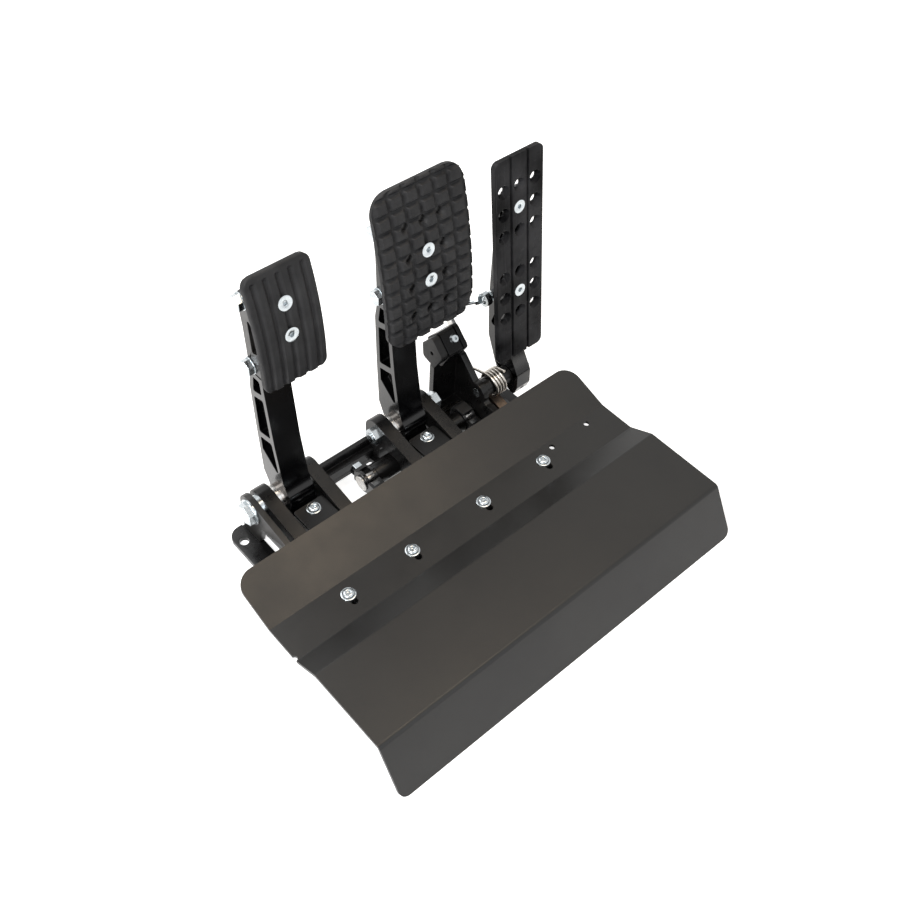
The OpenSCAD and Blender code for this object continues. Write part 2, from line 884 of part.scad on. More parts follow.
module clutch_pad() {
  color(rubber)
    difference() {
      curved_plate(clutch_x, clutch_pad_mid, clutch_pad_tilt, clutch_pad_eye, clutch_pad_r, clutch_pad_t,
        clutch_pad_w, clutch_pad_len, 8);
      for (x = clutch_groove_x)
        face_shell(clutch_pad_eye, clutch_pad_r + 1, clutch_pad_r - groove_d,
          clutch_x + x - groove_w / 2, clutch_x + x + groove_w / 2);
      for (s = clutch_screw_s)
        on_face(clutch_pad_eye, clutch_pad_r, clutch_pad_tilt, s, clutch_x)
          flush_hole(clutch_pad_t + 1);
    }
}

module clutch_pad_screws() {
  color(zinc)
    for (s = clutch_screw_s)
      on_face(clutch_pad_eye, clutch_pad_r, clutch_pad_tilt, s, clutch_x)
        flush_screw(clutch_pad_t + 5.5);
}

tread_pitch_x = 14.9;
tread_pitch_s = 13.4;
tread_gap = 3;
brake_hole_x = [-17.5, 0, 17.5];
brake_hole_s = [-47, -19, 9, 37];

module brake_pad() {
  color(rubber)
    difference() {
      curved_plate(brake_x, brake_pad_mid, brake_pad_tilt, brake_pad_eye, brake_pad_r, brake_pad_t,
        brake_pad_w, brake_pad_len, 18);
      for (i = [-3:3])
        face_shell(brake_pad_eye, brake_pad_r + 1, brake_pad_r - tread_d,
          brake_x + i * tread_pitch_x - tread_gap / 2, brake_x + i * tread_pitch_x + tread_gap / 2);
      for (i = [-5:5])
        on_face(brake_pad_eye, brake_pad_r, brake_pad_tilt, i * tread_pitch_s, brake_x)
          translate([-brake_pad_w / 2 - 1, -1, -tread_gap / 2])
            cube([brake_pad_w + 2, tread_d + 0.6, tread_gap]);
      for (x = brake_hole_x, s = brake_hole_s)
        on_face(brake_pad_eye, brake_pad_r, brake_pad_tilt, s, brake_x + x)
          flush_hole(brake_pad_t + 1);
    }
}

module brake_pad_screws() {
  color(zinc)
    for (s = brake_screw_s)
      on_face(brake_pad_eye, brake_pad_r, brake_pad_tilt, s, brake_x)
        flush_screw(brake_pad_t + 5.5);
}

// Balance bar: the sleeve is held in the brake arm and the bar turns in a bearing inside it
bearing_r = 9;
clevis_half = 6.7;
sleeve_end = cylinder_pitch - clevis_half - 0.8;

module balance_sleeve() {
  color(black)
    difference() {
      bar_along_x(brake_x - sleeve_end, brake_x + sleeve_end, bar_y, bar_z, sleeve_d / 2);
      bar_along_x(brake_x - sleeve_end - cut, brake_x + sleeve_end + cut, bar_y, bar_z, bearing_r + fit);
    }
}

module balance_bearing() {
  color(steel)
    difference() {
      bar_along_x(brake_x - 9, brake_x + 9, bar_y, bar_z, bearing_r);
      bar_along_x(brake_x - 10, brake_x + 10, bar_y, bar_z, bar_d / 2 + fit);
    }
}

bar_end = cylinder_pitch + clevis_half + 1.8;

module balance_bar() {
  color(black)
    bar_along_x(brake_x - bar_end, brake_x + bar_end, bar_y, bar_z, bar_d / 2);
}

module balance_bar_collars() {
  color(steel)
    for (x = [brake_x - bar_end + 0.7, brake_x + bar_end - 0.7])
      difference() {
        bar_along_x(x - 0.7, x + 0.7, bar_y, bar_z, 8);
        bar_along_x(x - 3, x + 3, bar_y, bar_z, bar_d / 2 + fit);
      }
}

// Rod along Y from y0 to a round tip
module rod(x, y0) {
  bar_along_y(x, rod_tip_y, y0, bar_z, rod_d / 2);
  translate([x, rod_tip_y, bar_z])
    sphere(rod_d / 2);
}

module clutch_pushrod() {
  color(zinc)
    difference() {
      union() {
        rod(clutch_x, bar_y - 4);
        bar_along_x(clutch_x - 5.7, clutch_x + 5.7, bar_y, bar_z, rod_eye_r);
        hex_along_y(clutch_x, bar_y - 22, bar_y - 15, bar_z, 11);
        bar_along_y(clutch_x, bar_y - 15, bar_y - 4, bar_z, 5.5);
      }
      bar_along_x(clutch_x - 7, clutch_x + 7, bar_y, bar_z, lug_pin_r + run_fit);
    }
}

clevis_rear = 66.5;

module clevis(x) {
  difference() {
    union() {
      bar_along_x(x - clevis_half, x + clevis_half, bar_y, bar_z, 11.5);
      box([x - clevis_half, x + clevis_half], [33, clevis_rear], [bar_z - 7, bar_z + 7]);
      hex_along_y(x, 26, 33, bar_z, 13);
      rod(x, 34);
    }
    bar_along_x(x - 8, x + 8, bar_y, bar_z, bar_d / 2 + run_fit);
    box([x - 3.7, x + 3.7], [39, 62.5], [0, 30]);
  }
}

module brake_pushrods() {
  color(zinc)
    for (x = [cylinder_x[1], cylinder_x[2]])
      clevis(x);
}

module clevis_nut() {
  color(zinc)
    hex_along_y(cylinder_x[1], clevis_rear, clevis_rear + 6, bar_z, 13);
}

// Rubber cap over the rear of the clevis on the throttle side
module clevis_cover() {
  color(rubber)
    slab(cylinder_x[2] - clevis_half, 2 * clevis_half)
      difference() {
        polygon(rounded([
          [bar_y - 8, bar_z - 10, 0], [clevis_rear + 2.5, bar_z - 10, 3],
          [clevis_rear + 2.5, bar_z + 7, 3], [clevis_rear - 3.5, bar_z + 13.5, 4],
          [bar_y - 8, bar_z + 13.5, 4]
        ]));
        translate([bar_y, bar_z])
          circle(11.5 + fit);
        translate([30, bar_z - 7 - fit])
          square([clevis_rear + fit - 30, 14 + 2 * fit]);
        translate([30, 0])
          square([bar_y - 34, 40]);
      }
}

spigot_r = 9;
spigot_end = -38;
cylinder_bolt_x = 20;
flange_t = 6;
barrel_rear = beam_front - flange_t;
bore_front = barrel_front + 14;
feed_y = barrel_front + 24;
feed_top = bar_z + barrel_d / 2 + 3;

module cylinder_body(x) {
  difference() {
    union() {
      bar_along_y(x, barrel_front, barrel_rear, bar_z, barrel_d / 2);
      box([x - 26, x + 26], [barrel_rear, beam_front], [base_t + 0.5, bar_z + 11]);
      bar_along_y(x, barrel_rear, spigot_end, bar_z, spigot_r);
      translate([x, feed_y, bar_z])
        cylinder(r = 7, h = feed_top - bar_z);
    }
    bar_along_y(x, bore_front, spigot_end + cut, bar_z, piston_d / 2 + run_fit);
    for (side = [-1, 1])
      bar_along_y(x + side * cylinder_bolt_x, barrel_rear - cut, beam_front + cut, bar_z + 2, 2.7);
    // Feed port on top and outlet at the front end
    translate([x, feed_y, bar_z])
      cylinder(r = 4 + fit, h = 30);
    bar_along_y(x, barrel_front - cut, bore_front + cut, bar_z, 4 + fit);
    for (y = [barrel_front + 40, barrel_front + 48, barrel_front + 56])
      difference() {
        bar_along_y(x, y, y + 3, bar_z, barrel_d / 2 + 1);
        bar_along_y(x, y - cut, y + 3 + cut, bar_z, barrel_d / 2 - 1.5);
      }
  }
}

module clutch_cylinder() {
  color(steel)
    cylinder_body(cylinder_x[0]);
}

module brake_cylinders() {
  color(steel)
    for (x = [cylinder_x[1], cylinder_x[2]])
      cylinder_body(x);
}

module cylinder_bolts() {
  color(zinc)
    for (x = cylinder_x, side = [-1, 1])
      difference() {
        union() {
          bar_along_y(x + side * cylinder_bolt_x, barrel_rear - 5, barrel_rear, bar_z + 2, 4.25);
          bar_along_y(x + side * cylinder_bolt_x, barrel_rear, beam_rear - 3, bar_z + 2, 2.5);
        }
        hex_along_y(x + side * cylinder_bolt_x, barrel_rear - 6, barrel_rear - 2.5, bar_z + 2, 4);
      }
}

module cylinder_unions() {
  color(bronze)
    for (x = cylinder_x) {
      // Hose tail in the feed port
      translate([x, feed_y, bar_z + barrel_d / 2 - 4])
        cylinder(r = 4, h = 8);
      translate([x, feed_y, feed_top])
        cylinder(r = 5.5, h = 2.5);
      translate([x, feed_y, feed_top + 2.5])
        cylinder(r1 = 4.2, r2 = 3, h = 5);
      // Banjo bolt at the outlet
      bar_along_y(x, barrel_front - 4, barrel_front + 8, bar_z, 4);
      hex_along_y(x, barrel_front - 8, barrel_front, bar_z, 13);
    }
}

module cylinder_boots() {
  color(rubber)
    for (x = cylinder_x)
      translate([x, beam_rear, bar_z])
        rotate([-90, 0, 0])
          difference() {
            union() {
              cylinder(r = spigot_r + 2.4, h = 6);
              translate([0, 0, 6])
                cylinder(r1 = spigot_r + 1, r2 = spigot_r - 1, h = 4);
              translate([0, 0, 10])
                cylinder(r1 = spigot_r + 0.5, r2 = spigot_r - 1.5, h = 4);
              translate([0, 0, 14])
                cylinder(r1 = spigot_r, r2 = spigot_r - 2, h = 4);
            }
            translate([0, 0, -cut])
              cylinder(r = spigot_r + fit, h = spigot_end - beam_rear + cut + seat);
            cylinder(r = rod_d / 2 + 2.2, h = 30);
          }
}

module piston(x) {
  difference() {
    bar_along_y(x, rod_tip_y - 24, spigot_end - 3, bar_z, piston_d / 2);
    bar_along_y(x, rod_tip_y - rod_d / 2 - tip_gap, spigot_end, bar_z, rod_d / 2 + 1);
    // Seal grooves
    for (y = [rod_tip_y - 20, rod_tip_y - 12])
      difference() {
        bar_along_y(x, y, y + 2.4, bar_z, piston_d / 2 + 1);
        bar_along_y(x, y - cut, y + 3, bar_z, piston_d / 2 - 1.5);
      }
  }
}

module clutch_piston() {
  color(steel)
    piston(cylinder_x[0]);
}

module brake_pistons() {
  color(steel)
    for (x = [cylinder_x[1], cylinder_x[2]])
      piston(x);
}

// Throttle bracket: a foot with a stepped window, a rear wall and a side plate in one casting
foot_x = [wall_x[3] + wall_t + seat, bracket_x[1] + 9];
foot_y = [-10, wall_rear];
foot_top = 17;
boss_r = 9.5;

module bracket_side() {
  difference() {
    union() {
      polygon(rounded([
        [foot_y[0], base_t, 0], [wall_rear, base_t, 0], [wall_rear, 76, 0], [79, 76, 5],
        [41, 37, 10], [24, 37, 6], [foot_y[0], 26, 2]
      ], 6));
      translate([throttle_y, pivot_z])
        circle(boss_r + 2.5);
    }
    translate([throttle_y, pivot_z])
      circle(throttle_pin_d / 2 + fit);
  }
}

module throttle_bracket() {
  color(black)
    difference() {
      union() {
        slab(bracket_x[0], bracket_x[1] - bracket_x[0])
          bracket_side();
        translate([0, 0, base_t])
          linear_extrude(foot_top - base_t)
            round_window(foot_x, foot_y, 1);
        // Rear wall, rounded at its free top corner
        translate([0, wall_rear, 0])
          rotate([90, 0, 0])
            linear_extrude(6.5)
              polygon(rounded([
                [sensor_x[0] - 3, foot_top - 1, 0], [bracket_x[0] + 1, foot_top - 1, 0],
                [bracket_x[0] + 1, 76, 0], [sensor_x[0] - 3, 76, 5]
              ]));
      }
      // Two steps down to the through window, which is open on the brake side for the balance bar
      translate([0, 0, foot_top - 2])
        foot_window(bracket_x[0] - 0.6, 76, 9);
      translate([0, 0, foot_top - 5])
        foot_window(bracket_x[0] - 2, 73, 7);
      foot_window(bracket_x[0] - 3.2, 70, 6);
      base_screw_holes();
    }
}

module foot_window(right, rear, r) {
  linear_extrude(foot_top)
    round_window([foot_x[0] - 20, right], [foot_y[0] - 20, rear], r);
}

module throttle_boss() {
  color(black)
    difference() {
      bar_along_x(bracket_x[1], throttle_arm_x - seat, throttle_y, pivot_z, boss_r);
      bar_along_x(bracket_x[1] - cut, throttle_arm_x, throttle_y, pivot_z, throttle_pin_d / 2 + fit);
    }
}

// Torsion spring around the boss, in points along the wire: a leg, the coils and a short leg
coil_x = bracket_x[1] + 10;
leg_len = 18;
short_leg_len = 9;
ring_points = 6;
turn_points = 8;
coil_start = 75;

function coil_point(i) =
  let (a = coil_start + 360 * i / turn_points)
  [coil_x + coil_pitch * i / turn_points, throttle_y + coil_r * cos(a), pivot_z + coil_r * sin(a)];

function coil_tangent(i) =
  let (a = coil_start + 360 * i / turn_points)
  unit([coil_pitch / (2 * PI), -coil_r * sin(a), coil_r * cos(a)]);

coil_count = coils * turn_points;
coil_end = coil_point(coil_count) + short_leg_len * coil_tangent(coil_count);
leg_bend = coil_point(0) - leg_len * coil_tangent(0);
spring_path = concat(
  [leg_bend + [-5, 2, -4], leg_bend],
  [for (i = [0:coil_count]) coil_point(i)],
  [coil_end]
);

// Smallest gap between one coil and the next, measured on the points of the wire
spring_gap = min([
  for (i = [1:len(spring_path) - 2], j = [1:len(spring_path) - 2])
    if (j >= i + turn_points / 2)
      norm(spring_path[i] - spring_path[j]) - wire_d
]);
echo(spring_gap = spring_gap);

function path_tangent(i) =
  let (last = len(spring_path) - 1)
  unit(spring_path[min(i + 1, last)] - spring_path[max(i - 1, 0)]);

// Directions across the wire at a point of the path
function across_wire(i) = unit(cross(path_tangent(i), [1, 0.02, 0.03]));

function wire_ring(i) =
  let (u = across_wire(i), v = cross(path_tangent(i), u))
  [
    for (k = [0:ring_points - 1])
      spring_path[i] + wire_d / 2 * (u * cos(360 * k / ring_points) + v * sin(360 * k / ring_points))
  ];

module throttle_spring() {
  rings = len(spring_path);
  points = [for (i = [0:rings - 1]) each wire_ring(i)];
  sides = [
    for (i = [0:rings - 2], k = [0:ring_points - 1])
      let (a = i * ring_points + k, b = i * ring_points + (k + 1) % ring_points)
      [a, b, b + ring_points, a + ring_points]
  ];
  ends = [
    [for (k = [ring_points - 1:-1:0]) k],
    [for (k = [0:ring_points - 1]) (rings - 1) * ring_points + k]
  ];
  color(steel)
    polyhedron(points, concat(sides, ends));
}

// Block under the coils that takes the long leg
module spring_stop() {
  color(bronze)
    slab(coil_x + 0.5, 11)
      polygon([[30, base_t], [54, base_t], [54, 27], [50, 27], [30, 22]]);
}

// Point on the back of the throttle plate, s along it from the middle
function plate_back(s) =
  throttle_mid + throttle_t * [cos(throttle_tilt), -sin(throttle_tilt)]
  + s * [sin(throttle_tilt), cos(throttle_tilt)];

module throttle_arm_outline() {
  low = plate_back(-throttle_len / 2 - seat);
  high = plate_back(72);
  difference() {
    polygon(rounded([
      [low[0], low[1], 0],
      [high[0], high[1], 0],
      [high[0] + 9, high[1] - 3, 4],
      [89, 190, 12],
      [88, 120, 12],
      [84, 76, 8],
      [72, 48, 6],
      [62, 29, 4],
      [42, 22, 4],
      [38, 34, 4],
      [39, 50, 6]
    ]));
    translate([throttle_y, pivot_z])
      circle(throttle_pin_d / 2 + run_fit);
  }
}

module throttle_arm() {
  color(black)
    difference() {
      slab(throttle_arm_x, throttle_arm_w)
        throttle_arm_outline();
      for (x = [throttle_arm_x - cut, throttle_arm_x + throttle_arm_w - 5.5])
        slab(x, 6)
          for (z = [92, 144, 196])
            polygon(rounded([
              [plate_back(z + 40 - throttle_mid[1])[0] + 6, z + 40, 1.5],
              [plate_back(z - throttle_mid[1])[0] + 6, z, 3],
              [82.5, z, 3],
              [plate_back(z + 40 - throttle_mid[1])[0] + 9.5, z + 40, 1.5]
            ]));
      // Threaded hole for the stop screw, and the holes of the plate screws
      bar_along_y(throttle_x, 30, 46, 30, 2);
      for (s = throttle_screw_s)
        on_plate(s, 0)
          rotate([-90, 0, 0])
            cylinder(r = m6_r + fit, h = throttle_t + 12);
      bar_along_x(throttle_arm_x - cut, throttle_x, stud[0], stud[1], 3 + fit);
    }
}

// Place something on the face of the throttle plate, +Y going into the plate
module on_plate(s, x) {
  translate([throttle_x + x, throttle_mid[0], throttle_mid[1]])
    rotate([-throttle_tilt, 0, 0])
      translate([0, 0, s])
        children();
}

throttle_hole_x = [-19, 0, 19];
throttle_hole_s = [-22.5, 0, 22.5];
throttle_groove_x = [-10, 10];

module throttle_plate() {
  color(black)
    difference() {
      on_plate(0, 0)
        rotate([-90, 0, 0])
          linear_extrude(throttle_t)
            round_rect(throttle_w, throttle_len, 6);
      for (x = throttle_groove_x)
        on_plate(-throttle_len / 2 - 1, x)
          translate([-1.5, -1, 0])
            cube([3, 3, throttle_len + 2]);
      for (x = throttle_hole_x, s = throttle_screw_s, ds = throttle_hole_s)
        on_plate(s + ds, x)
          flush_hole(throttle_t + 1);
    }
}

module throttle_plate_screws() {
  color(zinc)
    for (s = throttle_screw_s)
      on_plate(s, 0)
        flush_screw(throttle_t + 10);
}

// Ball stud on the throttle arm
module throttle_stud() {
  color(zinc) {
    bar_along_x(link_x, throttle_x - 1, stud[0], stud[1], 3);
    hex_along_x(throttle_arm_x - 5, throttle_arm_x, stud[0], stud[1], 9);
    translate([link_x, stud[0], stud[1]])
      rotate([0, 90, 0])
        sphere(ball_r);
  }
}

// The link leans in X as well, from the stud to the ball of the sensor lever
link_reach = [far_x - link_x, lever_end[0] - stud[0], lever_end[1] - stud[1]];
link_len = norm(link_reach);
link_eye_r = 7;

module link_eye(x, at, clearance) {
  translate([x, at[0], at[1]])
    rotate([0, 90, 0])
      difference() {
        cylinder(r = link_eye_r, h = 6, center = true);
        cylinder(r = ball_r + clearance, h = 8, center = true);
      }
}

module link_rod() {
  color(zinc) {
    link_eye(link_x, stud, run_fit);
    link_eye(far_x, lever_end, 0.9);
    translate([link_x, stud[0], stud[1]])
      rotate([0, acos(link_reach[2] / link_len), atan2(link_reach[1], link_reach[0])])
        translate([0, 0, link_eye_r - 0.6]) {
          cylinder(r = 2.3, h = link_len - 2 * link_eye_r + 1.2);
          cylinder(d = 7 / cos(30), h = 4, $fn = 6);
          translate([0, 0, link_len - 2 * link_eye_r - 2.8])
            cylinder(d = 7 / cos(30), h = 4, $fn = 6);
        }
  }
}

sensor_outline = [[84, 118, 4], [99, 101, 4], [97, 83, 4], [78, 76.3, 4], [66, 100, 4]];

module sensor_housing() {
  color(black)
    difference() {
      slab(sensor_x[0], sensor_x[1] - sensor_x[0])
        polygon(rounded(sensor_outline));
      bar_along_x(sensor_x[1] - 8, sensor_x[1] + cut, sensor_y, sensor_z, 3 + run_fit);
      // Line between the housing and its flange
      difference() {
        slab(sensor_x[1] - 6, 1)
          polygon(rounded(sensor_outline));
        slab(sensor_x[1] - 7, 3)
          translate([84.5, 95])
            circle(13);
      }
      for (x = sensor_screw_x)
        sensor_face(x)
          translate([0, 0, -8])
            cylinder(r = 2.5 + fit, h = 12);
    }
}

// Face of the housing that looks up towards the driver
sensor_screw_x = [sensor_x[0] + 12];

module sensor_face(x) {
  translate([x, 75, 109])
    rotate([45, 0, 0])
      children();
}

module sensor_screws() {
  color(zinc)
    for (x = sensor_screw_x)
      sensor_face(x)
        difference() {
          union() {
            translate([0, 0, -7])
              cylinder(r = 2.5, h = 7 + cut);
            cylinder(r1 = 4.6, r2 = 3.4, h = 2.8);
          }
          translate([0, 0, 1.4])
            cylinder(d = 3 / cos(30), h = 3, $fn = 6);
        }
}

module sensor_connector() {
  color(grey)
    slab(sensor_x[0] - 8, 8)
      difference() {
        polygon(rounded([[84, 116, 4], [97, 100, 4], [95.5, 84, 4], [79, 79.5, 4], [68, 100, 4]]));
        translate([83, 96])
          circle(2);
      }
}

lever_t = 4;

module sensor_lever() {
  color(steel)
    difference() {
      union() {
        bar_along_x(sensor_x[1] - 7, lever_x + lever_t, sensor_y, sensor_z, 3);
        bar_along_x(sensor_x[1] + seat, lever_x + lever_t, sensor_y, sensor_z, 6.5);
        slab(lever_x, lever_t)
          lever_outline();
        bar_along_x(lever_x, far_x, lever_end[0], lever_end[1], 2.5);
        translate([far_x, lever_end[0], lever_end[1]])
          sphere(ball_r);
      }
      hex_along_x(lever_x + 2, lever_x + lever_t + cut, sensor_y, sensor_z, 4);
    }
}

module lever_outline() {
  reach = lever_end - [sensor_y, sensor_z];
  aside = unit([-reach[1], reach[0]]) * 4.5;
  root = [sensor_y, sensor_z];
  polygon([root + aside, lever_end + aside, lever_end - aside, root - aside]);
  translate(lever_end)
    circle(4.5);
}

base_plate();
front_beam();
rear_rail();
base_screws();
clutch_wall_left();
clutch_wall_right();
brake_wall_left();
brake_wall_right();
side_rail();
pivot_spacer();
pivot_bolts();
brake_pivot_nut();
thrust_rings();
heel_plate();
heel_plate_screws();
clutch_stop_plate();
brake_stop_plate();
stop_plate_screws();
clutch_arm();
clutch_bush();
clutch_lug_pin();
clutch_pad_bracket();
clutch_pad_bolts();
clutch_pad();
clutch_pad_screws();
brake_arm();
brake_bush();
brake_pad_bracket();
brake_pad_bolts();
brake_pad();
brake_pad_screws();
balance_sleeve();
balance_bearing();
balance_bar();
balance_bar_collars();
clutch_pushrod();
brake_pushrods();
clevis_nut();
clevis_cover();
clutch_cylinder();
brake_cylinders();
cylinder_bolts();
cylinder_unions();
cylinder_boots();
clutch_piston();
brake_pistons();
throttle_bracket();
throttle_boss();
throttle_spring();
spring_stop();
throttle_arm();
throttle_plate();
throttle_plate_screws();
throttle_stud();
sensor_housing();
sensor_connector();
sensor_screws();
sensor_lever();
link_rod();
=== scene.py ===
import json
import math

import bmesh
import bpy
import numpy as np
from mathutils import Matrix, Vector


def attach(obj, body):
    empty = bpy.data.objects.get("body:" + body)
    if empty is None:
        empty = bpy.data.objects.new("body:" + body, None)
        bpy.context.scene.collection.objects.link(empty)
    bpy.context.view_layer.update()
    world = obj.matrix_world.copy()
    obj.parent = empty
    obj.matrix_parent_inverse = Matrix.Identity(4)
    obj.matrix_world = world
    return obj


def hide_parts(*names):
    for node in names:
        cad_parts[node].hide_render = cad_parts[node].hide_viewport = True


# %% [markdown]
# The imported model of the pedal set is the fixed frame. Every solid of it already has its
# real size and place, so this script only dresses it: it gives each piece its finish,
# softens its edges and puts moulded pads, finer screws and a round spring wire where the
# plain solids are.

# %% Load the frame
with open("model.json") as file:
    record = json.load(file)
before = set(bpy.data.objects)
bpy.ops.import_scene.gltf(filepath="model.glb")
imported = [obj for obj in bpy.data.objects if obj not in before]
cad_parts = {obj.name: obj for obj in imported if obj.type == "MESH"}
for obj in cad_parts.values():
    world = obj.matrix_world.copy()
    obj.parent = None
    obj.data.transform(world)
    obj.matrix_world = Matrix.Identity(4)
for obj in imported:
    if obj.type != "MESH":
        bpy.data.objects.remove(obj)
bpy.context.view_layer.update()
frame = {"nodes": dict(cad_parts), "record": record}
record = frame["record"]
body_of_node = {n: b for b, members in record["behaviour"]["bodies"].items() for n in members}
slot_of_node = {s["node"]: s["material_slot"] for s in record["subparts"]}

# %% [markdown]
# Colours are written as the hex values that a paint chart gives, in sRGB. Blender works in
# linear light, so one function turns them. Two more add nodes with their settings and links,
# which keeps each material short enough to read as a recipe. Lengths are written in
# millimetres, as on a drawing, and Blender's unit is the metre.

# %% Colour and node helpers
MM = 0.001


def linear(hex_value):
    """A colour such as "#808080" as linear red, green, blue and alpha."""
    channels = [int(hex_value[i:i + 2], 16) / 255 for i in (1, 3, 5)]
    return tuple(c / 12.92 if c <= 0.04045 else ((c + 0.055) / 1.055) ** 2.4
                 for c in channels) + (1.0,)


def add_node(tree, kind, settings=None, **links):
    """A node of that kind. Links are sockets or plain values. Their keys are the names of the
    inputs with _ for spaces, or _0, _1 and so on for the first, the second and so on."""
    node = tree.nodes.new(kind)
    for key, value in (settings or {}).items():
        setattr(node, key, value)
    for key, value in links.items():
        number = key[1:]
        socket = node.inputs[int(number) if number.isdigit() else key.replace("_", " ")]
        if isinstance(value, bpy.types.NodeSocket):
            tree.links.new(value, socket)
        else:
            socket.default_value = value
    return node


def map_range(tree, value, low, high, to_low=0.0, to_high=1.0):
    """The value, spread from the range low to high over the range to_low to to_high."""
    node = add_node(tree, "ShaderNodeMapRange", Value=value, From_Min=low, From_Max=high,
                    To_Min=to_low, To_Max=to_high)
    return node.outputs["Result"]


def mix_colours(tree, factor, first, second):
    """The first colour where the factor is 0 and the second where it is 1."""
    # A Mix node has its colour sockets after those for numbers and vectors
    node = add_node(tree, "ShaderNodeMix", {"data_type": "RGBA"}, _0=factor, _6=first, _7=second)
    return node.outputs[2]


print("mid grey in linear light:", [round(c, 3) for c in linear("#808080")])

# %% [markdown]
# The parts of the set are metal plates that were milled, blasted and anodised black, a
# powder coated sheet, moulded rubber, zinc plated screws, turned steel and bush metal, and
# moulded plastic. All of them share one build: a base colour that drifts slowly over the
# piece, fine grain as bump, and a roughness that is a little uneven, as handled metal is.
# So one function makes them, and each finish is a call with its own real sizes. Some also
# have specks, where the tips of the grain take the second colour. On the brushed throttle
# plate that second colour is painted highlight, in pale streaks along the grain.

# %% Finishes
DRIFT_RANGE = (0.35, 0.7)     # values of the slow noise that give the first and second colour
SPECK_RANGE = (0.6, 0.78)     # the same for the tips of the fine grain
SMUDGE_RANGE = (0.3, 0.7)     # values of the smudges that give the least and most roughness
SMUDGE_SIZE = 0.3             # size of a smudge, as a part of the drift
BUMP_STRENGTH = 0.6


def finish(name, base, worn_and_highlight, roughness, spread, grain_mm, bump_mm, drift_mm, metallic=0.0,
           streaks=(1, 1, 1), specks=0.0, specular=0.5):
    """The base colour and the second colour are the two colours. The second is a worn tone, but
    on the brushed throttle plate it is painted highlight. spread is how far the roughness strays.
    grain_mm is the size of the surface grain, bump_mm its height and drift_mm the size of the
    slow change of colour. streaks stretches the grain along an axis, as brushing and turning do."""
    material = bpy.data.materials.new(name)
    material.use_nodes = True
    tree = material.node_tree
    tree.nodes.clear()
    place = add_node(tree, "ShaderNodeTexCoord").outputs["Object"]
    stretched = add_node(tree, "ShaderNodeMapping", Vector=place, Scale=streaks)
    slow = add_node(tree, "ShaderNodeTexNoise", Vector=place, Scale=1 / (drift_mm * MM),
                    Detail=3.0, Roughness=0.55)
    fine = add_node(tree, "ShaderNodeTexNoise", Vector=stretched.outputs["Vector"],
                    Scale=1 / (grain_mm * MM), Detail=2.0, Roughness=0.5)
    smudge = add_node(tree, "ShaderNodeTexNoise", Vector=place,
                      Scale=1 / (drift_mm * SMUDGE_SIZE * MM), Detail=4.0, Roughness=0.6)
    drift = map_range(tree, slow.outputs["Fac"], *DRIFT_RANGE)
    colour = mix_colours(tree, drift, linear(base), linear(worn_and_highlight))
    # On the brushed throttle plate these specks are painted highlight streaks
    if specks:
        speck_and_highlight_mask = map_range(tree, fine.outputs["Fac"], *SPECK_RANGE, to_high=specks)
        colour = mix_colours(tree, speck_and_highlight_mask, colour, linear(worn_and_highlight))
    rough = map_range(tree, smudge.outputs["Fac"], *SMUDGE_RANGE,
                      to_low=roughness - spread, to_high=roughness + spread)
    bump = add_node(tree, "ShaderNodeBump", Height=fine.outputs["Fac"],
                    Strength=BUMP_STRENGTH, Distance=bump_mm * MM)
    shader = add_node(tree, "ShaderNodeBsdfPrincipled", Base_Color=colour, Roughness=rough,
                      Normal=bump.outputs["Normal"], Metallic=metallic,
                      Specular_IOR_Level=specular)
    add_node(tree, "ShaderNodeOutputMaterial", Surface=shader.outputs["BSDF"])
    return material


MATERIAL_OF_SLOT = {
    # Powder coat: a dark warm grey with a fine orange-peel grain that breaks up highlights
    "plate_metal": finish("powder coated steel sheet", "#100f0e", "#181715", 0.38, 0.04,
                          0.9, 0.07, 110, specks=0.6, specular=0.44),
    # Anodised plate: almost black, with soft grey highlights from its blasted surface
    "frame_black": finish("black anodised aluminium plate", "#080808", "#100f0f", 0.30, 0.06,
                          0.5, 0.015, 45, specks=0.2, specular=0.34),
    # The pedal arms were milled and left smoother, so their edges and faces shine more
    "pedal_black": finish("black anodised milled arm", "#020203", "#060607", 0.18, 0.04,
                          0.6, 0.008, 60),
    # The pad brackets and the side rail were blasted duller, and read as a warm dark grey
    "bracket_black": finish("black anodised bracket", "#151413", "#201e1c", 0.36, 0.06,
                            0.5, 0.02, 30, specks=0.3),
    # Moulded rubber: dull, with a slightly lighter bloom and no clear reflection
    "pad_rubber": finish("moulded pad rubber", "#29292a", "#363637", 0.50, 0.06,
                         0.7, 0.05, 18, specks=0.35, specular=0.13),
    "soft_rubber": finish("soft black rubber", "#111111", "#1a1a1a", 0.5, 0.06,
                          0.6, 0.03, 12),
    # Zinc plate: bright and slightly blue, with small patches
    "zinc": finish("bright zinc plate", "#c3c9cc", "#b1b7ba", 0.22, 0.05,
                   0.7, 0.012, 4, metallic=1.0),
    # A turning tool runs round the axis of a piece, which most often lies across the set
    "steel": finish("turned steel", "#d2d1cf", "#b5b2ae", 0.27, 0.06,
                    0.5, 0.015, 8, metallic=1.0, streaks=(1, 0.06, 0.06)),
    "bronze": finish("turned bush metal", "#cdc8c3", "#b3aaa3", 0.22, 0.06,
                     0.5, 0.015, 8, metallic=1.0, streaks=(1, 0.06, 0.06)),
    # Spring wire is drawn through a die, so it is smooth, and warmer than plated steel
    "spring_steel": finish("drawn spring wire", "#c6c1ba", "#a39d94", 0.27, 0.06,
                           0.5, 0.012, 6, metallic=1.0),
    "cylinder_metal": finish("hard anodised cylinder alloy", "#77787a", "#646567", 0.38, 0.06,
                             0.5, 0.02, 25, metallic=1.0),
    "black_plastic": finish("moulded black nylon", "#050505", "#0c0c0d", 0.24, 0.05,
                            0.9, 0.03, 10, specks=0.25, specular=0.14),
    "grey_plastic": finish("moulded dark plastic", "#161616", "#202020", 0.42, 0.05,
                           0.9, 0.03, 10, specular=0.2),
}
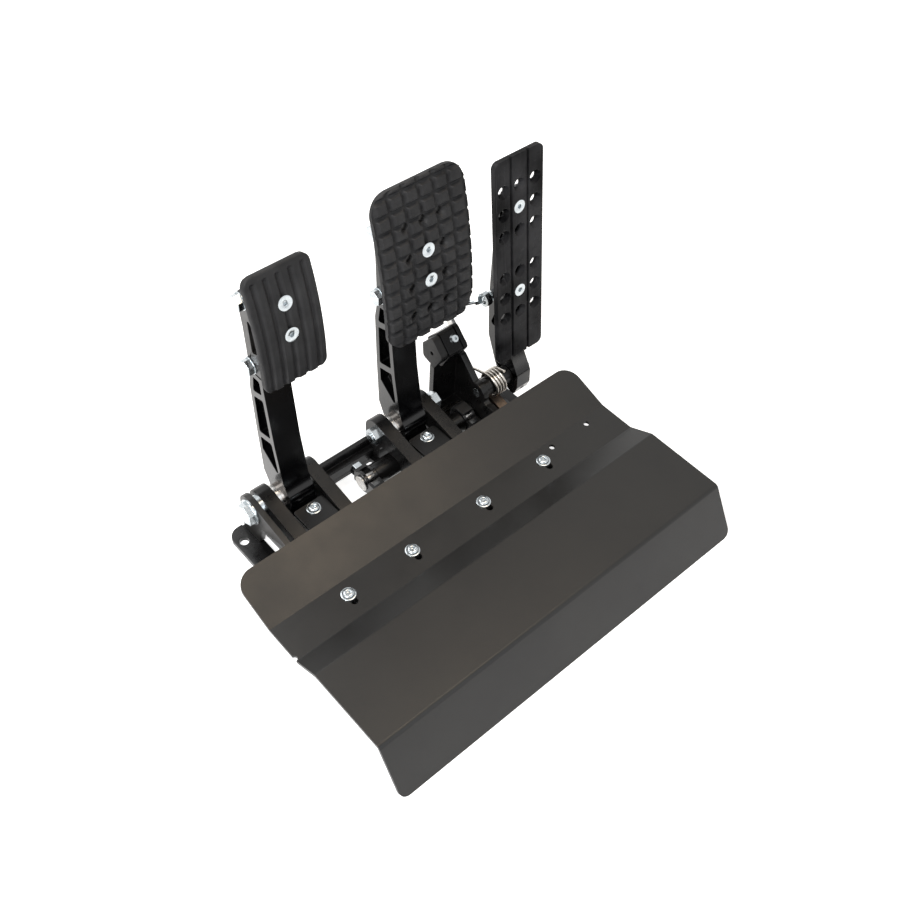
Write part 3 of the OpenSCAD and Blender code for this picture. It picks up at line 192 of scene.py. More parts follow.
# The throttle plate was brushed along its length. The pale streaks drawn out upwards along the
# brushing are painted highlight: a light second colour on the tips of the stretched grain, with
# the plate's own reflection turned low.
brushed_black_painted_highlights = finish("brushed black anodised plate with painted highlights", "#020203", "#3c3c3e", 0.25, 0.07,
                       1.5, 0.08, 50, streaks=(1, 0.03, 0.03), specks=1.0, specular=0.05)
# The block under the spring is a bare casting that has dulled to a tan grey
cast_block = finish("bare cast block", "#6d6157", "#584e46", 0.48, 0.06,
                    0.7, 0.04, 6, metallic=1.0)
# The rod ends were blackened in an oil bath, and their round faces keep a hard gloss
blackened_steel = finish("blackened steel", "#0b0b0c", "#161617", 0.20, 0.05, 0.5, 0.012, 8)
OWN_FINISH = {"throttle_plate": brushed_black_painted_highlights, "spring_stop": cast_block,
              "brake_pushrods": blackened_steel, "clutch_pushrod": blackened_steel}


def finish_of(node):
    """The node's own finish, or else the one of its material slot."""
    return OWN_FINISH.get(node, MATERIAL_OF_SLOT[slot_of_node[node]])


print("finishes:", len(MATERIAL_OF_SLOT) + len(set(OWN_FINISH.values())))

# %% [markdown]
# Each new piece goes through the same few steps. It is built as loose vertices and faces
# (a bmesh), turned into a mesh, linked to the scene and given its modifiers. Their result is
# baked into a plain mesh. Last, the piece takes the finish and body of its solid, and
# stands for that solid in the picture.

# %% Steps that every piece shares
SAME_POINT = 2 * MM * MM      # corners of a solid's triangles closer than this are one
CRUMB_SIZE = 3 * MM * MM      # edges of a baked mesh shorter than this go
CRUMB_FACES = 5               # so do loose islands with fewer faces than this


def to_mesh(work, name):
    mesh = bpy.data.meshes.new(name)
    work.to_mesh(mesh)
    work.free()
    return mesh


def add_object(name, data):
    added = bpy.data.objects.new(name, data)
    bpy.context.scene.collection.objects.link(added)
    return added


def bake(piece):
    """Make the result of the piece's modifiers its own mesh."""
    shown = piece.evaluated_get(bpy.context.evaluated_depsgraph_get())
    baked = bpy.data.meshes.new_from_object(shown)
    piece.modifiers.clear()
    piece.data = baked
    return baked


def islands(elements, next_to):
    """The groups of elements that hang together. They come in the order of the mesh, so every
    run gives the same."""
    left = set(elements)
    groups = []
    for first in elements:
        if first not in left:
            continue
        left.remove(first)
        stack = [first]
        group = []
        while stack:
            element = stack.pop()
            group.append(element)
            for other in next_to(element):
                if other in left:
                    left.remove(other)
                    stack.append(other)
        groups.append(group)
    return groups


def faces_next_to(face):
    return [other for edge in face.edges for other in edge.link_faces]


def clean(mesh):
    """Join doubled corners and delete the slivers and crumbs that a bevel or cut can leave."""
    work = bmesh.new()
    work.from_mesh(mesh)
    bmesh.ops.remove_doubles(work, verts=work.verts, dist=CRUMB_SIZE)
    bmesh.ops.dissolve_degenerate(work, dist=CRUMB_SIZE, edges=work.edges)
    crumbs = [face for island in islands(work.faces, faces_next_to)
              if len(island) < CRUMB_FACES for face in island]
    bmesh.ops.delete(work, geom=crumbs, context="FACES")
    work.to_mesh(mesh)
    work.free()
    return mesh


def shade(mesh, angle):
    """Smooth shading, but sharp where the faces turn by more than the angle in degrees."""
    mesh.shade_smooth()
    mesh.set_sharp_from_angle(angle=math.radians(angle))


def settle(piece, node):
    """A finished piece takes its node's finish and body and stands for the node."""
    piece.data.materials.clear()
    piece.data.materials.append(finish_of(node))
    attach(piece, body_of_node[node])
    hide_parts(node)


print("solids to dress:", len(frame["nodes"]))

# %% [markdown]
# A milled edge is never perfectly sharp. It is broken by a file or a cutter, and that thin
# line catches the light all round the black plates. The frame's meshes are loose triangles,
# so each piece is a copy whose corners are merged and whose flat faces are joined again. A
# Bevel modifier then breaks the edges that turn more than 30 degrees. A Weighted Normal
# modifier follows: it lets the large faces decide the direction of their corners, so a flat
# sheet reflects as a flat sheet.

# %% Copies with broken edges
# A face can't have a hole in it, so faces that are joined round a hole stay cut somewhere.
# Round the many windows of the floor plate that goes wrong, so it keeps its triangles.
WINDOWED = {"base_plate"}
# These have very short edges at sharp corners, where a full bevel would shoot out past the
# piece. Theirs is held back to what fits there, which is next to nothing: they stay sharp.
TIGHT = {"heel_plate", "brake_pushrods", "clutch_pushrod"}
FLAT_DEGREES = 0.6            # faces that turn less than this are one flat face
BROKEN_DEGREES = 30           # edges that turn more than this are broken
SMOOTH_DEGREES = 32
EDGE_MM = {
    "heel_plate": 0.4,
    "base_plate": 0.4, "front_beam": 0.5, "rear_rail": 0.5,
    "clutch_wall_left": 0.6, "clutch_wall_right": 0.6,
    "brake_wall_left": 0.6, "brake_wall_right": 0.6,
    "side_rail": 0.5, "clutch_stop_plate": 0.5, "brake_stop_plate": 0.5,
    "clutch_arm": 0.5, "brake_arm": 0.5, "throttle_arm": 0.5,
    "clutch_pad_bracket": 0.4, "brake_pad_bracket": 0.4,
    "throttle_plate": 0.4, "throttle_bracket": 0.6,
    "pivot_bolts": 0.3, "brake_pivot_nut": 0.3, "clutch_pad_bolts": 0.3, "brake_pad_bolts": 0.3,
    "clevis_nut": 0.3, "brake_pushrods": 0.3, "clutch_pushrod": 0.3, "clevis_cover": 0.6,
    "spring_stop": 0.5, "sensor_housing": 0.6, "sensor_connector": 0.5, "sensor_lever": 0.3,
    "throttle_stud": 0.25, "cylinder_unions": 0.3,
    "clutch_cylinder": 0.3, "brake_cylinders": 0.3, "cylinder_boots": 0.3,
    "balance_sleeve": 0.4, "balance_bar_collars": 0.2, "throttle_boss": 0.4, "thrust_rings": 0.3,
}


def merged_copy(node):
    """The node's mesh with its corners merged."""
    work = bmesh.new()
    work.from_mesh(frame["nodes"][node].data)
    bmesh.ops.remove_doubles(work, verts=work.verts, dist=SAME_POINT)
    return work


def eased(node, width_mm):
    """A copy of the node with edges that are broken by that width."""
    work = merged_copy(node)
    if node not in WINDOWED:
        bmesh.ops.dissolve_limit(work, angle_limit=math.radians(FLAT_DEGREES),
                                 verts=work.verts, edges=work.edges)
    piece = add_object(node + "_eased", to_mesh(work, node + "_eased"))
    edge = piece.modifiers.new("edge", "BEVEL")
    edge.width = width_mm * MM
    edge.segments = 2
    edge.limit_method = "ANGLE"
    edge.angle_limit = math.radians(BROKEN_DEGREES)
    edge.use_clamp_overlap = node in TIGHT
    edge.miter_outer = "MITER_ARC"
    shade(clean(bake(piece)), SMOOTH_DEGREES)
    flat = piece.modifiers.new("flat faces", "WEIGHTED_NORMAL")
    flat.mode = "FACE_AREA"
    flat.keep_sharp = True
    bake(piece)
    settle(piece, node)


for node, width in EDGE_MM.items():
    eased(node, width)
print("pieces with broken edges:", len(EDGE_MM))

# %% [markdown]
# The clutch and brake pads are moulded: the clutch pad has five long valleys, and the brake
# pad a tread of square blocks with sloping sides. Such a face could be carved out of the
# plain pad, but a mould is a height over a surface, so it is made as one: a fine lattice is
# laid over the curved face and each of its points is pushed in by a rule. These are the
# rules. x goes across the pad and t up its face, both from its middle, in millimetres.

# %% Rules of the two treads
# A valley is half its width at the top, half its width at the bottom, and its depth
CLUTCH_PITCH = 11             # from one valley of the clutch pad to the next
CLUTCH_VALLEY = (2.6, 1.2, 2.0)
CLUTCH_VALLEY_END = 48        # the valleys end at this height, below the top edge
RUN_OUT = 2                   # and get shallower over this length before it
BRAKE_PITCH = (14.9, 13.4)    # of the blocks, across and up the pad
BRAKE_VALLEY_ACROSS = (3.0, 1.2, 3.2)
BRAKE_VALLEY_UP = (2.7, 1.1, 3.2)


def valley(distance, top_half, bottom_half, depth):
    """Depth of a valley with sloping sides at a distance from its middle."""
    return depth * min(1, max(0, (top_half - abs(distance)) / (top_half - bottom_half)))


def clutch_tread(x, t):
    fade = min(1, max(0, (CLUTCH_VALLEY_END - t) / RUN_OUT))
    return fade * max(valley(x - CLUTCH_PITCH * i, *CLUTCH_VALLEY) for i in range(-2, 3))


def brake_tread(x, t):
    pitch_x, pitch_t = BRAKE_PITCH
    across = max(valley(x - pitch_x * i, *BRAKE_VALLEY_ACROSS) for i in range(-3, 4))
    along = max(valley(t - pitch_t * i, *BRAKE_VALLEY_UP) for i in range(-5, 6))
    return max(across, along)


print("clutch tread 0 to 5 mm from its middle:", [round(clutch_tread(x, 0), 2) for x in range(6)])

# %% [markdown]
# Each face is part of a large cylinder whose axis lies across the set, so it is curved
# lengthwise and straight across. The outline is a rectangle with round corners. Where a row
# of the lattice meets a corner it gets shorter, so its last points always lie on the
# outline. There the face also rounds off towards the side.

# %% Lattice over a pad face
LATTICE_MM = 0.7
EDGE_ROUND = 1.3


def pad_point(pad, x, t, depth):
    """A point of the pad in metres: x across, t up its face from the middle, depth into it."""
    lean = math.radians(pad["tilt"])
    angle = lean + math.asin(t / pad["radius"])
    reach = pad["radius"] - depth
    y = pad["mid"][0] + pad["radius"] * math.cos(lean) - reach * math.cos(angle)
    z = pad["mid"][1] - pad["radius"] * math.sin(lean) + reach * math.sin(angle)
    return Vector((pad["x"] + x, y, z)) * MM


def half_width(pad, t):
    """Half of the width of the outline at height t, less near the round corners."""
    past = abs(t) - (pad["length"] / 2 - pad["corner"])
    if past <= 0:
        return pad["width"] / 2
    return pad["width"] / 2 - pad["corner"] + math.sqrt(max(0, pad["corner"] ** 2 - past ** 2))


def inside(pad, x, t):
    """Distance from the outline inwards."""
    over_x = abs(x) - pad["width"] / 2 + pad["corner"]
    over_t = abs(t) - pad["length"] / 2 + pad["corner"]
    outside = math.hypot(max(over_x, 0), max(over_t, 0)) + min(max(over_x, over_t), 0)
    return pad["corner"] - outside


def pad_mesh(name, pad, tread):
    rows = round(pad["length"] / LATTICE_MM)
    columns = round(pad["width"] / LATTICE_MM)
    work = bmesh.new()
    top = []
    back = []
    for i in range(rows + 1):
        t = (i / rows - 0.5) * pad["length"]
        half = half_width(pad, t)
        row = []
        for j in range(columns + 1):
            x = (2 * j / columns - 1) * half
            gap = max(0, EDGE_ROUND - inside(pad, x, t))
            rounding = EDGE_ROUND - math.sqrt(max(0, EDGE_ROUND ** 2 - gap ** 2))
            row.append(work.verts.new(pad_point(pad, x, t, max(tread(x, t), rounding))))
        top.append(row)
        back.append([work.verts.new(pad_point(pad, side * half, t, pad["thick"]))
                     for side in (-1, 1)])
    for low, high in zip(top, top[1:]):
        for j in range(columns):
            work.faces.new((low[j], low[j + 1], high[j + 1], high[j]))
    for i in range(rows):
        work.faces.new((back[i][1], back[i][0], back[i + 1][0], back[i + 1][1]))
        work.faces.new((back[i][0], top[i][0], top[i + 1][0], back[i + 1][0]))
        work.faces.new((top[i][-1], back[i][1], back[i + 1][1], top[i + 1][-1]))
    work.faces.new([back[0][0], back[0][1]] + list(reversed(top[0])))
    work.faces.new([back[-1][1], back[-1][0]] + top[-1])
    bmesh.ops.recalc_face_normals(work, faces=work.faces)
    return to_mesh(work, name)


# x and mid, as (y, z), are the middle of the face. tilt is its lean in degrees, radius that
# of its curve and corner that of its corners.
CLUTCH_PAD = {"x": -99.5, "mid": (50, 256.5), "tilt": 9, "radius": 270, "width": 59,
              "length": 106, "corner": 8, "thick": 5.5}
BRAKE_PAD = {"x": 33.5, "mid": (45.2, 254.9), "tilt": 10, "radius": 500, "width": 93,
             "length": 144, "corner": 18, "thick": 6}
for name, pad in (("clutch", CLUTCH_PAD), ("brake", BRAKE_PAD)):
    print(name, "lattice:", round(pad["length"] / LATTICE_MM), "rows of",
          round(pad["width"] / LATTICE_MM))

# %% [markdown]
# The countersunk holes are cut into the finished tread with a Boolean modifier. The cutter is
# one mesh with a plug for each hole. Its points go through the same rule as the pad's, so
# each plug stands square to the curved face.

# %% Countersunk holes and finished pads
PLUG_SIDES = 28
HOLE_RADIUS = 3.2
CONE_BOTTOM = 3.5             # depth where the cone of the countersink meets the hole
CONE_TOP = (6.9, -0.2)        # radius and depth of its wide end, just over the face
PLUG_TOP = (7.4, -1.5)
PAD_SMOOTH_DEGREES = 50
CLUTCH_HOLES = [(0, -7), (0, 21)]
BRAKE_HOLES = [(x, t) for x in (-17.5, 0, 17.5) for t in (-47, -19, 9, 37)]


def countersinks(pad, holes):
    """One object with a plug for each hole at (x, t) in the pad."""
    work = bmesh.new()
    outline = [(HOLE_RADIUS, pad["thick"] + 2), (HOLE_RADIUS, CONE_BOTTOM), CONE_TOP, PLUG_TOP]
    for x, t in holes:
        rings = []
        for radius, depth in outline:
            ring = []
            for k in range(PLUG_SIDES):
                angle = 2 * math.pi * k / PLUG_SIDES
                ring.append(work.verts.new(pad_point(pad, x + radius * math.cos(angle),
                                                     t + radius * math.sin(angle), depth)))
            rings.append(ring)
        for low, high in zip(rings, rings[1:]):
            for k in range(PLUG_SIDES):
                after = (k + 1) % PLUG_SIDES
                work.faces.new((low[k], low[after], high[after], high[k]))
        work.faces.new(list(reversed(rings[0])))
        work.faces.new(rings[-1])
    bmesh.ops.recalc_face_normals(work, faces=work.faces)
    return add_object("countersinks", to_mesh(work, "countersinks"))


def make_pad(node, pad, tread, holes):
    piece = add_object(node + "_moulded", pad_mesh(node + "_moulded", pad, tread))
    cutter = countersinks(pad, holes)
    cut = piece.modifiers.new("holes", "BOOLEAN")
    cut.operation = "DIFFERENCE"
    cut.solver = "EXACT"
    cut.object = cutter
    shade(clean(bake(piece)), PAD_SMOOTH_DEGREES)
    bpy.data.objects.remove(cutter)
    settle(piece, node)
    print(node, "faces:", len(piece.data.polygons))


make_pad("clutch_pad", CLUTCH_PAD, clutch_tread, CLUTCH_HOLES)
make_pad("brake_pad", BRAKE_PAD, brake_tread, BRAKE_HOLES)

# %% [markdown]
# The socket screws repeat all over the set: in the heel plate, the stop plates, the pads, the
# throttle plate and the floor plate. Each kind is one small mesh that is spun from its
# outline, with a hexagonal socket let into it. An outline goes from the tip of the screw up
# to the rim of its socket, as pairs of radius and height, with the top of the head at 0.

# %% Screw shapes
SCREW_SIDES = 24
SCREW_SMOOTH_DEGREES = 35
SOCKET_HALF = 2.0             # half of the width across the flats of the socket
SOCKET_RIM = 0.25             # depth of the bevel round the socket
SOCKET_TIP = 0.5              # depth of the drill's cone at its bottom
M6_RADIUS = 3.0
THREAD_ROOT = 2.5             # radius in the grooves of the thread
THREAD_PITCH = 1.0
BUTTON_HEAD = 3.6             # height of the flanged head
BUTTON_SOCKET_DEPTH = 2.0
FLUSH_SOCKET_DEPTH = 2.2


def ring_points(work, radius, z, hexagonal=False):
    """One ring of the screw, round or hexagonal. A hexagon's radius is half across its flats."""
    points = []
    for i in range(SCREW_SIDES):
        angle = 2 * math.pi * i / SCREW_SIDES
        r = radius
        if hexagonal:
            r = radius / math.cos((angle + math.pi / 6) % (math.pi / 3) - math.pi / 6)
        points.append(work.verts.new((r * math.cos(angle) * MM, r * math.sin(angle) * MM,
                                      z * MM)))
    return points


def spun_screw(name, outline, socket_depth):
    work = bmesh.new()
    rings = [ring_points(work, r, z) for r, z in outline]
    rings.append(ring_points(work, SOCKET_HALF, -SOCKET_RIM, hexagonal=True))
    rings.append(ring_points(work, SOCKET_HALF, -socket_depth, hexagonal=True))
    for low, high in zip(rings, rings[1:]):
        for i in range(SCREW_SIDES):
            j = (i + 1) % SCREW_SIDES
            work.faces.new((low[i], low[j], high[j], high[i]))
    work.faces.new(list(reversed(rings[0])))
    bottom = work.verts.new((0, 0, (-socket_depth - SOCKET_TIP) * MM))
    for i in range(SCREW_SIDES):
        work.faces.new((rings[-1][i], rings[-1][(i + 1) % SCREW_SIDES], bottom))
    mesh = to_mesh(work, name)
    shade(mesh, SCREW_SMOOTH_DEGREES)
    return bpy.data.objects.new(name, mesh)


def thread(low, high):
    """Outline of a thread from one height to another, drawn as plain ridges."""
    points = []
    z = low
    while z + THREAD_PITCH <= high:
        points += [(THREAD_ROOT, z), (M6_RADIUS, z + 0.5 * THREAD_PITCH)]
        z += THREAD_PITCH
    return points


def button_outline(length):
    """An M6 screw with a rounded head on a flange, of that length under the flange."""
    tip = -BUTTON_HEAD - length
    flange = [(M6_RADIUS, -BUTTON_HEAD), (6.6, -BUTTON_HEAD), (6.8, -3.4), (6.8, -2.8),
              (6.5, -2.6)]
    head = [(5.5, -2.6), (5.3, -1.7), (4.7, -0.8), (3.7, -0.2), (2.7, 0.0)]
    return [(2.2, tip)] + thread(-3.2 - length, -4.2) + flange + head


def flush_outline(length):
    """A countersunk M6 screw of that length, its head flush with the surface."""
    return [(2.4, -length), (M6_RADIUS, 0.6 - length), (M6_RADIUS, -3.5), (6.3, -0.35),
            (6.3, -0.05), (6.1, 0.0), (2.6, 0.0)]


print("points of a 10 mm outline:", len(button_outline(10)), "and", len(flush_outline(10)))

# %% [markdown]
# The places of the screws are read from the solids, so the two can't differ. The solid of a
# node may hold several screws, and each is an island of points. The long axis of a screw is
# the one about which it is slimmest, and its head is the wider end.

# %% Screw places
def corners_next_to(corner):
    return [edge.other_vert(corner) for edge in corner.link_edges]


def screw_places(node):
    """(middle of the head's top, direction out of the head) of each screw, in metres."""
    work = merged_copy(node)
    places = []
    for island in islands(work.verts, corners_next_to):
        points = np.array([corner.co[:] for corner in island])
        middle = (points.min(0) + points.max(0)) / 2
        fits = []
        for direction in np.linalg.svd(points - points.mean(0), full_matrices=False)[2]:
            along = (points - middle) @ direction
            across = np.linalg.norm(points - middle - np.outer(along, direction), axis=1)
            fits.append((across.max(), direction, along, across))
        _, direction, along, across = min(fits, key=lambda fit: fit[0])
        low_end = across[along < 0.5 * along.min()].max()
        high_end = across[along > 0.5 * along.max()].max()
        if low_end > high_end:
            direction, along = -direction, -along
        places.append((Vector(middle + direction * along.max()), Vector(direction)))
    work.free()
    return places


print("screws in the heel plate:", len(screw_places("heel_plate_screws")))

# %% [markdown]
# Geometry Nodes put the screws on their places. The tree takes the places as points that
# carry a direction, stands one screw on each, turns it about its own axis by a random angle
# from a fixed seed, because no two screws stop at the same one, makes the copies real and
# gives them their plating. The screw is an input, so one tree serves every kind.

# %% Tree that sets the screws
def new_group(name, inputs, output):
    """An empty tree with these inputs, as name and kind, and one output of geometry."""
    tree = bpy.data.node_groups.new(name, "GeometryNodeTree")
    sockets = {label: tree.interface.new_socket(name=label, in_out="INPUT",
                                                socket_type="NodeSocket" + kind)
               for label, kind in inputs.items()}
    tree.interface.new_socket(name=output, in_out="OUTPUT", socket_type="NodeSocketGeometry")
    return tree, sockets


def run_tree(piece, tree, sockets, values):
    """Send the piece through the tree with these values, and keep the result as its mesh."""
    modifier = piece.modifiers.new(tree.name, "NODES")
    modifier.node_group = tree
    for label, value in values.items():
        modifier[sockets[label].identifier] = value
    return bake(piece)


def screw_tree():
    tree, sockets = new_group("set of screws", {
        "Places": "Geometry", "Screw": "Object", "Turn seed": "Int", "Plating": "Material",
    }, "Screws")
    given = add_node(tree, "NodeGroupInput")
    screw = add_node(tree, "GeometryNodeObjectInfo", Object=given.outputs["Screw"])
    lean = add_node(tree, "GeometryNodeInputNamedAttribute", {"data_type": "FLOAT_VECTOR"},
                    Name="lean")
    stand = add_node(tree, "FunctionNodeAlignRotationToVector", {"axis": "Z"},
                     Vector=lean.outputs["Attribute"])
    stood = add_node(tree, "GeometryNodeInstanceOnPoints", Points=given.outputs["Places"],
                     Instance=screw.outputs["Geometry"], Rotation=stand.outputs["Rotation"])
    # The sockets of a random number come after those of a random vector
    spin = add_node(tree, "FunctionNodeRandomValue", {"data_type": "FLOAT"}, _3=2 * math.pi,
                    Seed=given.outputs["Turn seed"])
    angle = add_node(tree, "ShaderNodeCombineXYZ", Z=spin.outputs[1])
    turned = add_node(tree, "GeometryNodeRotateInstances",
                      Instances=stood.outputs["Instances"], Rotation=angle.outputs["Vector"])
    real = add_node(tree, "GeometryNodeRealizeInstances", Geometry=turned.outputs["Instances"])
    plated = add_node(tree, "GeometryNodeSetMaterial", Geometry=real.outputs["Geometry"],
                      Material=given.outputs["Plating"])
    add_node(tree, "NodeGroupOutput", Screws=plated.outputs["Geometry"])
    return tree, sockets


def set_screws(node, screw, seed, tree, sockets):
    """The node's screws, each a copy of the one screw, standing where the node has them."""
    places = screw_places(node)
    mesh = bpy.data.meshes.new(node + "_places")
    mesh.from_pydata([place for place, _ in places], [], [])
    lean = mesh.attributes.new("lean", "FLOAT_VECTOR", "POINT")
    lean.data.foreach_set("vector", [c for _, direction in places for c in direction])
    piece = add_object(node + "_set", mesh)
    run_tree(piece, tree, sockets,
             {"Screw": screw, "Turn seed": seed, "Plating": finish_of(node)})
    settle(piece, node)
    print(node, len(places), "screws")


SCREW_KINDS = {
    "heel_plate_screws": (button_outline(9.6), BUTTON_SOCKET_DEPTH),
    "stop_plate_screws": (button_outline(9.6), BUTTON_SOCKET_DEPTH),
    "clutch_pad_screws": (flush_outline(10.8), FLUSH_SOCKET_DEPTH),
    "brake_pad_screws": (flush_outline(11.3), FLUSH_SOCKET_DEPTH),
    "throttle_plate_screws": (flush_outline(15.2), FLUSH_SOCKET_DEPTH),
    "base_screws": (flush_outline(13.2), FLUSH_SOCKET_DEPTH),
}
screw_group, screw_inputs = screw_tree()
for seed, (node, (outline, depth)) in enumerate(SCREW_KINDS.items()):
    screw = spun_screw(node + "_shape", outline, depth)
    set_screws(node, screw, seed, screw_group, screw_inputs)
    bpy.data.objects.remove(screw)

# %% [markdown]
# The throttle returns on a torsion spring of round wire. Geometry Nodes sweep a circle along
# the line of the wire, which gives the even gloss of drawn steel. The line is the spring's
# own rule: one leg, the coils round the boss, and a short leg against the pedal arm.

# %% Throttle spring
WIRE_RADIUS = 1.5 * MM
WIRE_SIDES = 16
WIRE_SMOOTH_DEGREES = 40
COIL_RADIUS = 12.2 * MM
COIL_PITCH = 3.6 * MM
COILS = 4
COIL_STEPS = 28               # points of the line in one coil
COIL_START = 75               # degrees round the pivot
COIL_X = 125 * MM
PIVOT_Y, PIVOT_Z = 54 * MM, 43 * MM
FRONT_LEG = 18 * MM
FRONT_HOOK = Vector((-5, 2, -4)) * MM
ARM_LEG = 9 * MM


def coil_point(turns):
    angle = math.radians(COIL_START + 360 * turns)
    return Vector((COIL_X + COIL_PITCH * turns, PIVOT_Y + COIL_RADIUS * math.cos(angle),
                   PIVOT_Z + COIL_RADIUS * math.sin(angle)))


def coil_heading(turns):
    step = 0.001
    return (coil_point(turns + step) - coil_point(turns - step)).normalized()


def wire_tree():
    tree, sockets = new_group("swept wire", {
        "Line": "Geometry", "Wire radius": "Float", "Sides": "Int", "Steel": "Material",
    }, "Wire")
    given = add_node(tree, "NodeGroupInput")
    path = add_node(tree, "GeometryNodeMeshToCurve", Mesh=given.outputs["Line"])
    section = add_node(tree, "GeometryNodeCurvePrimitiveCircle",
                       Resolution=given.outputs["Sides"], Radius=given.outputs["Wire radius"])
    swept = add_node(tree, "GeometryNodeCurveToMesh", Curve=path.outputs["Curve"],
                     Profile_Curve=section.outputs["Curve"], Fill_Caps=True)
    real = add_node(tree, "GeometryNodeRealizeInstances", Geometry=swept.outputs["Mesh"])
    dressed = add_node(tree, "GeometryNodeSetMaterial", Geometry=real.outputs["Geometry"],
                       Material=given.outputs["Steel"])
    add_node(tree, "NodeGroupOutput", Wire=dressed.outputs["Geometry"])
    return tree, sockets


leg_root = coil_point(0) - coil_heading(0) * FRONT_LEG
line = [leg_root + FRONT_HOOK, leg_root]
line += [coil_point(i / COIL_STEPS) for i in range(COILS * COIL_STEPS + 1)]
line.append(coil_point(COILS) + coil_heading(COILS) * ARM_LEG)
mesh = bpy.data.meshes.new("throttle_spring_line")
mesh.from_pydata(line, [(i, i + 1) for i in range(len(line) - 1)], [])
spring = add_object("throttle_spring_wire", mesh)
wire_group, wire_inputs = wire_tree()
swept = run_tree(spring, wire_group, wire_inputs,
                 {"Wire radius": WIRE_RADIUS, "Sides": WIRE_SIDES,
                  "Steel": finish_of("throttle_spring")})
shade(swept, WIRE_SMOOTH_DEGREES)
settle(spring, "throttle_spring")
print("spring faces:", len(spring.data.polygons))

# %% [markdown]
# What is left is hidden under the heel plate or inside other pieces, or shows so little that
# finer edges wouldn't be seen. These solids stay as they are and only take their finish.

# %% Solids that stay
for node, solid in frame["nodes"].items():
    if solid.hide_render:
        continue
    solid.data.materials.clear()
    solid.data.materials.append(finish_of(node))
    print("kept:", node)

# %% [markdown]
# The floor is pale and the background white, as in a catalogue picture. The floor's own
# colour does most of it. A little light of its own, which only the camera and reflections
# see, lifts it to white, so the lamps can stay at a level that suits the black metal. It is
# just enough to meet the background where the floor is far from every lamp. The background
# works the same way: it looks white, but lights the set with a fifth of that.

# %% Floor and backdrop
FLOOR_HALF_M = 12
FLOOR_PAINT = (0.86, 0.86, 0.86, 1)
FLOOR_LIFT = 0.83
SKY_SEEN = 1.0
SKY_LIGHT = 0.2
WHITE = (1, 1, 1, 1)


def seen_directly(tree):
    """1 for rays that show a surface to the eye, straight or in a mirror or glass, else 0."""
    rays = add_node(tree, "ShaderNodeLightPath")
    seen = add_node(tree, "ShaderNodeMath", {"operation": "MAXIMUM"},
                    _0=rays.outputs["Is Camera Ray"], _1=rays.outputs["Is Glossy Ray"])
    seen = add_node(tree, "ShaderNodeMath", {"operation": "MAXIMUM"},
                    _0=seen.outputs[0], _1=rays.outputs["Is Transmission Ray"])
    return seen.outputs[0]


def pale_floor():
    material = bpy.data.materials.new("pale studio floor")
    material.use_nodes = True
    tree = material.node_tree
    tree.nodes.clear()
    level = map_range(tree, seen_directly(tree), 0, 1, to_high=FLOOR_LIFT)
    paint = add_node(tree, "ShaderNodeBsdfDiffuse", Color=FLOOR_PAINT)
    lift = add_node(tree, "ShaderNodeEmission", Color=WHITE, Strength=level)
    both = add_node(tree, "ShaderNodeAddShader", _0=paint.outputs[0], _1=lift.outputs[0])
    add_node(tree, "ShaderNodeOutputMaterial", Surface=both.outputs[0])
    return material


work = bmesh.new()
bmesh.ops.create_grid(work, x_segments=1, y_segments=1, size=FLOOR_HALF_M)
floor = add_object("studio_floor", to_mesh(work, "studio_floor"))
floor.data.materials.append(pale_floor())

world = bpy.data.worlds.new("studio")
bpy.context.scene.world = world
world.use_nodes = True
sky = world.node_tree
sky.nodes.clear()
strength = map_range(sky, seen_directly(sky), 0, 1, to_low=SKY_LIGHT, to_high=SKY_SEEN)
glow = add_node(sky, "ShaderNodeBackground", Color=WHITE, Strength=strength)
add_node(sky, "ShaderNodeOutputWorld", Surface=glow.outputs[0])
print("floor:", 2 * FLOOR_HALF_M, "m wide, background:", world.name)

# %% [markdown]
# Four soft lamps light the set: a large one above and behind, which draws the pale lines
# along the black edges, one from the clutch side, which shades the right flanks of the
# tread blocks, and a weak cool one from the driver's side. The last is a warm ceiling lamp.
# It hangs where the rear panel of the heel plate mirrors it to the camera, so the sheet is
# warm and paler towards the clutch and stays dark where it mirrors the pedals.

# %% Lamps
COOL = (0.82, 0.9, 1)
WARM = (1, 0.8, 0.58)


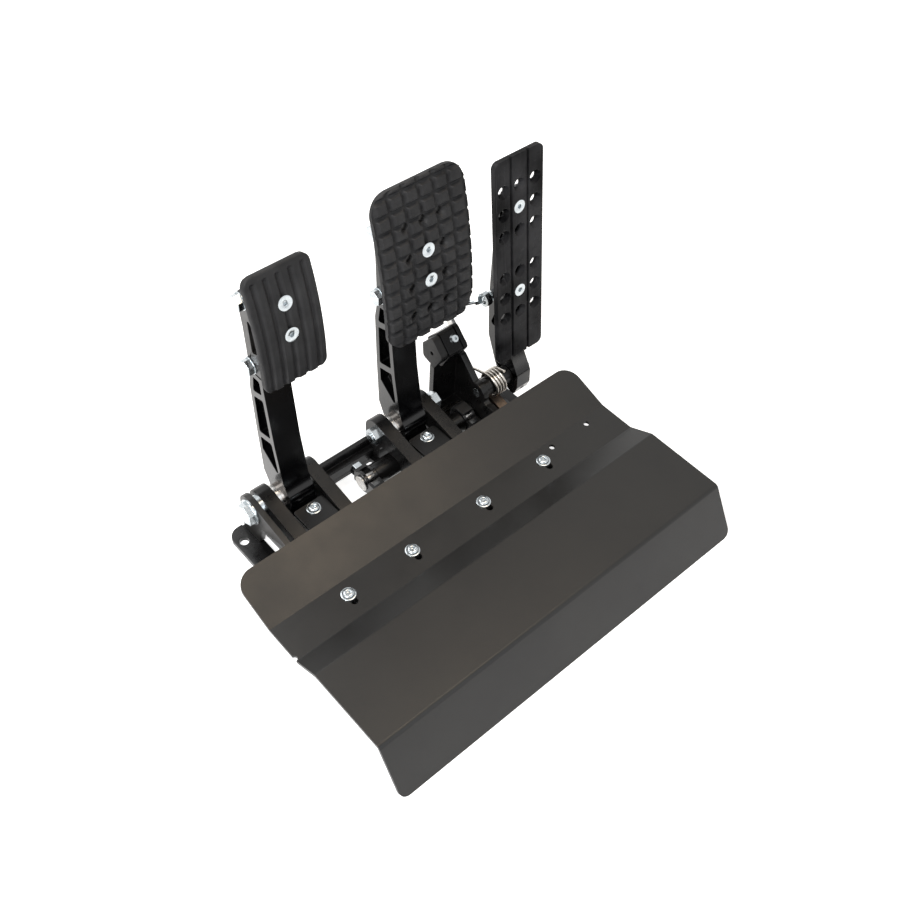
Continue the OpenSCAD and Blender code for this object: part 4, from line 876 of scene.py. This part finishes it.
def softbox(name, at, aim, size, power, tint=(1, 1, 1)):
    """A rectangular lamp. Its places and size are in metres and its power in watts."""
    lamp = bpy.data.lights.new(name, "AREA")
    lamp.shape = "RECTANGLE"
    lamp.size, lamp.size_y = size
    lamp.energy = power
    lamp.color = tint
    holder = add_object(name, lamp)
    holder.location = at
    holder.rotation_mode = "QUATERNION"
    holder.rotation_quaternion = (Vector(aim) - Vector(at)).to_track_quat("-Z", "Y")
    print(name, power, "W")


softbox("lamp over the back", (-0.4, 1.2, 1.5), (0, 0, 0.1), (1.4, 0.8), 13)
softbox("lamp on the clutch side", (-1.4, -0.45, 1.5), (0, 0, 0.15), (0.7, 0.7), 36)
softbox("lamp on the driver side", (0.3, -1.7, 1.2), (0, 0, 0.1), (1.2, 0.8), 4, COOL)
softbox("warm ceiling lamp", (0.32, -0.05, 1.5), (-0.1, -0.05, 0), (0.5, 0.6), 5, WARM)

# %% [markdown]
# The camera stands where the photographer stood: high over the clutch side of the heel
# plate, looking down across the pedals. Its place, its turn and its lens were solved from
# the folds and screws of the heel plate and the pivots in the photo.

# %% Camera
CAMERA_PLACE = Vector((-425.14, -465.88, 831.06)) * MM
CAMERA_RIGHT = Vector((0.750622, -0.659485, 0.040572))
CAMERA_DOWN = Vector((-0.484031, -0.590643, -0.645643))
CAMERA_AHEAD = Vector((0.449755, 0.464996, -0.762561))
camera_data = bpy.data.cameras.new("camera")
camera_data.sensor_width = 36
camera_data.lens = 44.03
camera_data.clip_start = 0.05
camera_data.clip_end = 60
camera = add_object("camera", camera_data)
turn = Matrix((CAMERA_RIGHT, -CAMERA_DOWN, -CAMERA_AHEAD)).transposed()
camera.matrix_world = Matrix.Translation(CAMERA_PLACE) @ turn.to_4x4()
bpy.context.scene.camera = camera
print("lens:", round(camera_data.lens, 2), "mm, height:", round(CAMERA_PLACE.z, 3), "m")

# %% [markdown]
# The Standard view transform shows a colour as it was written.

# %% View
bpy.context.scene.view_settings.view_transform = "Standard"
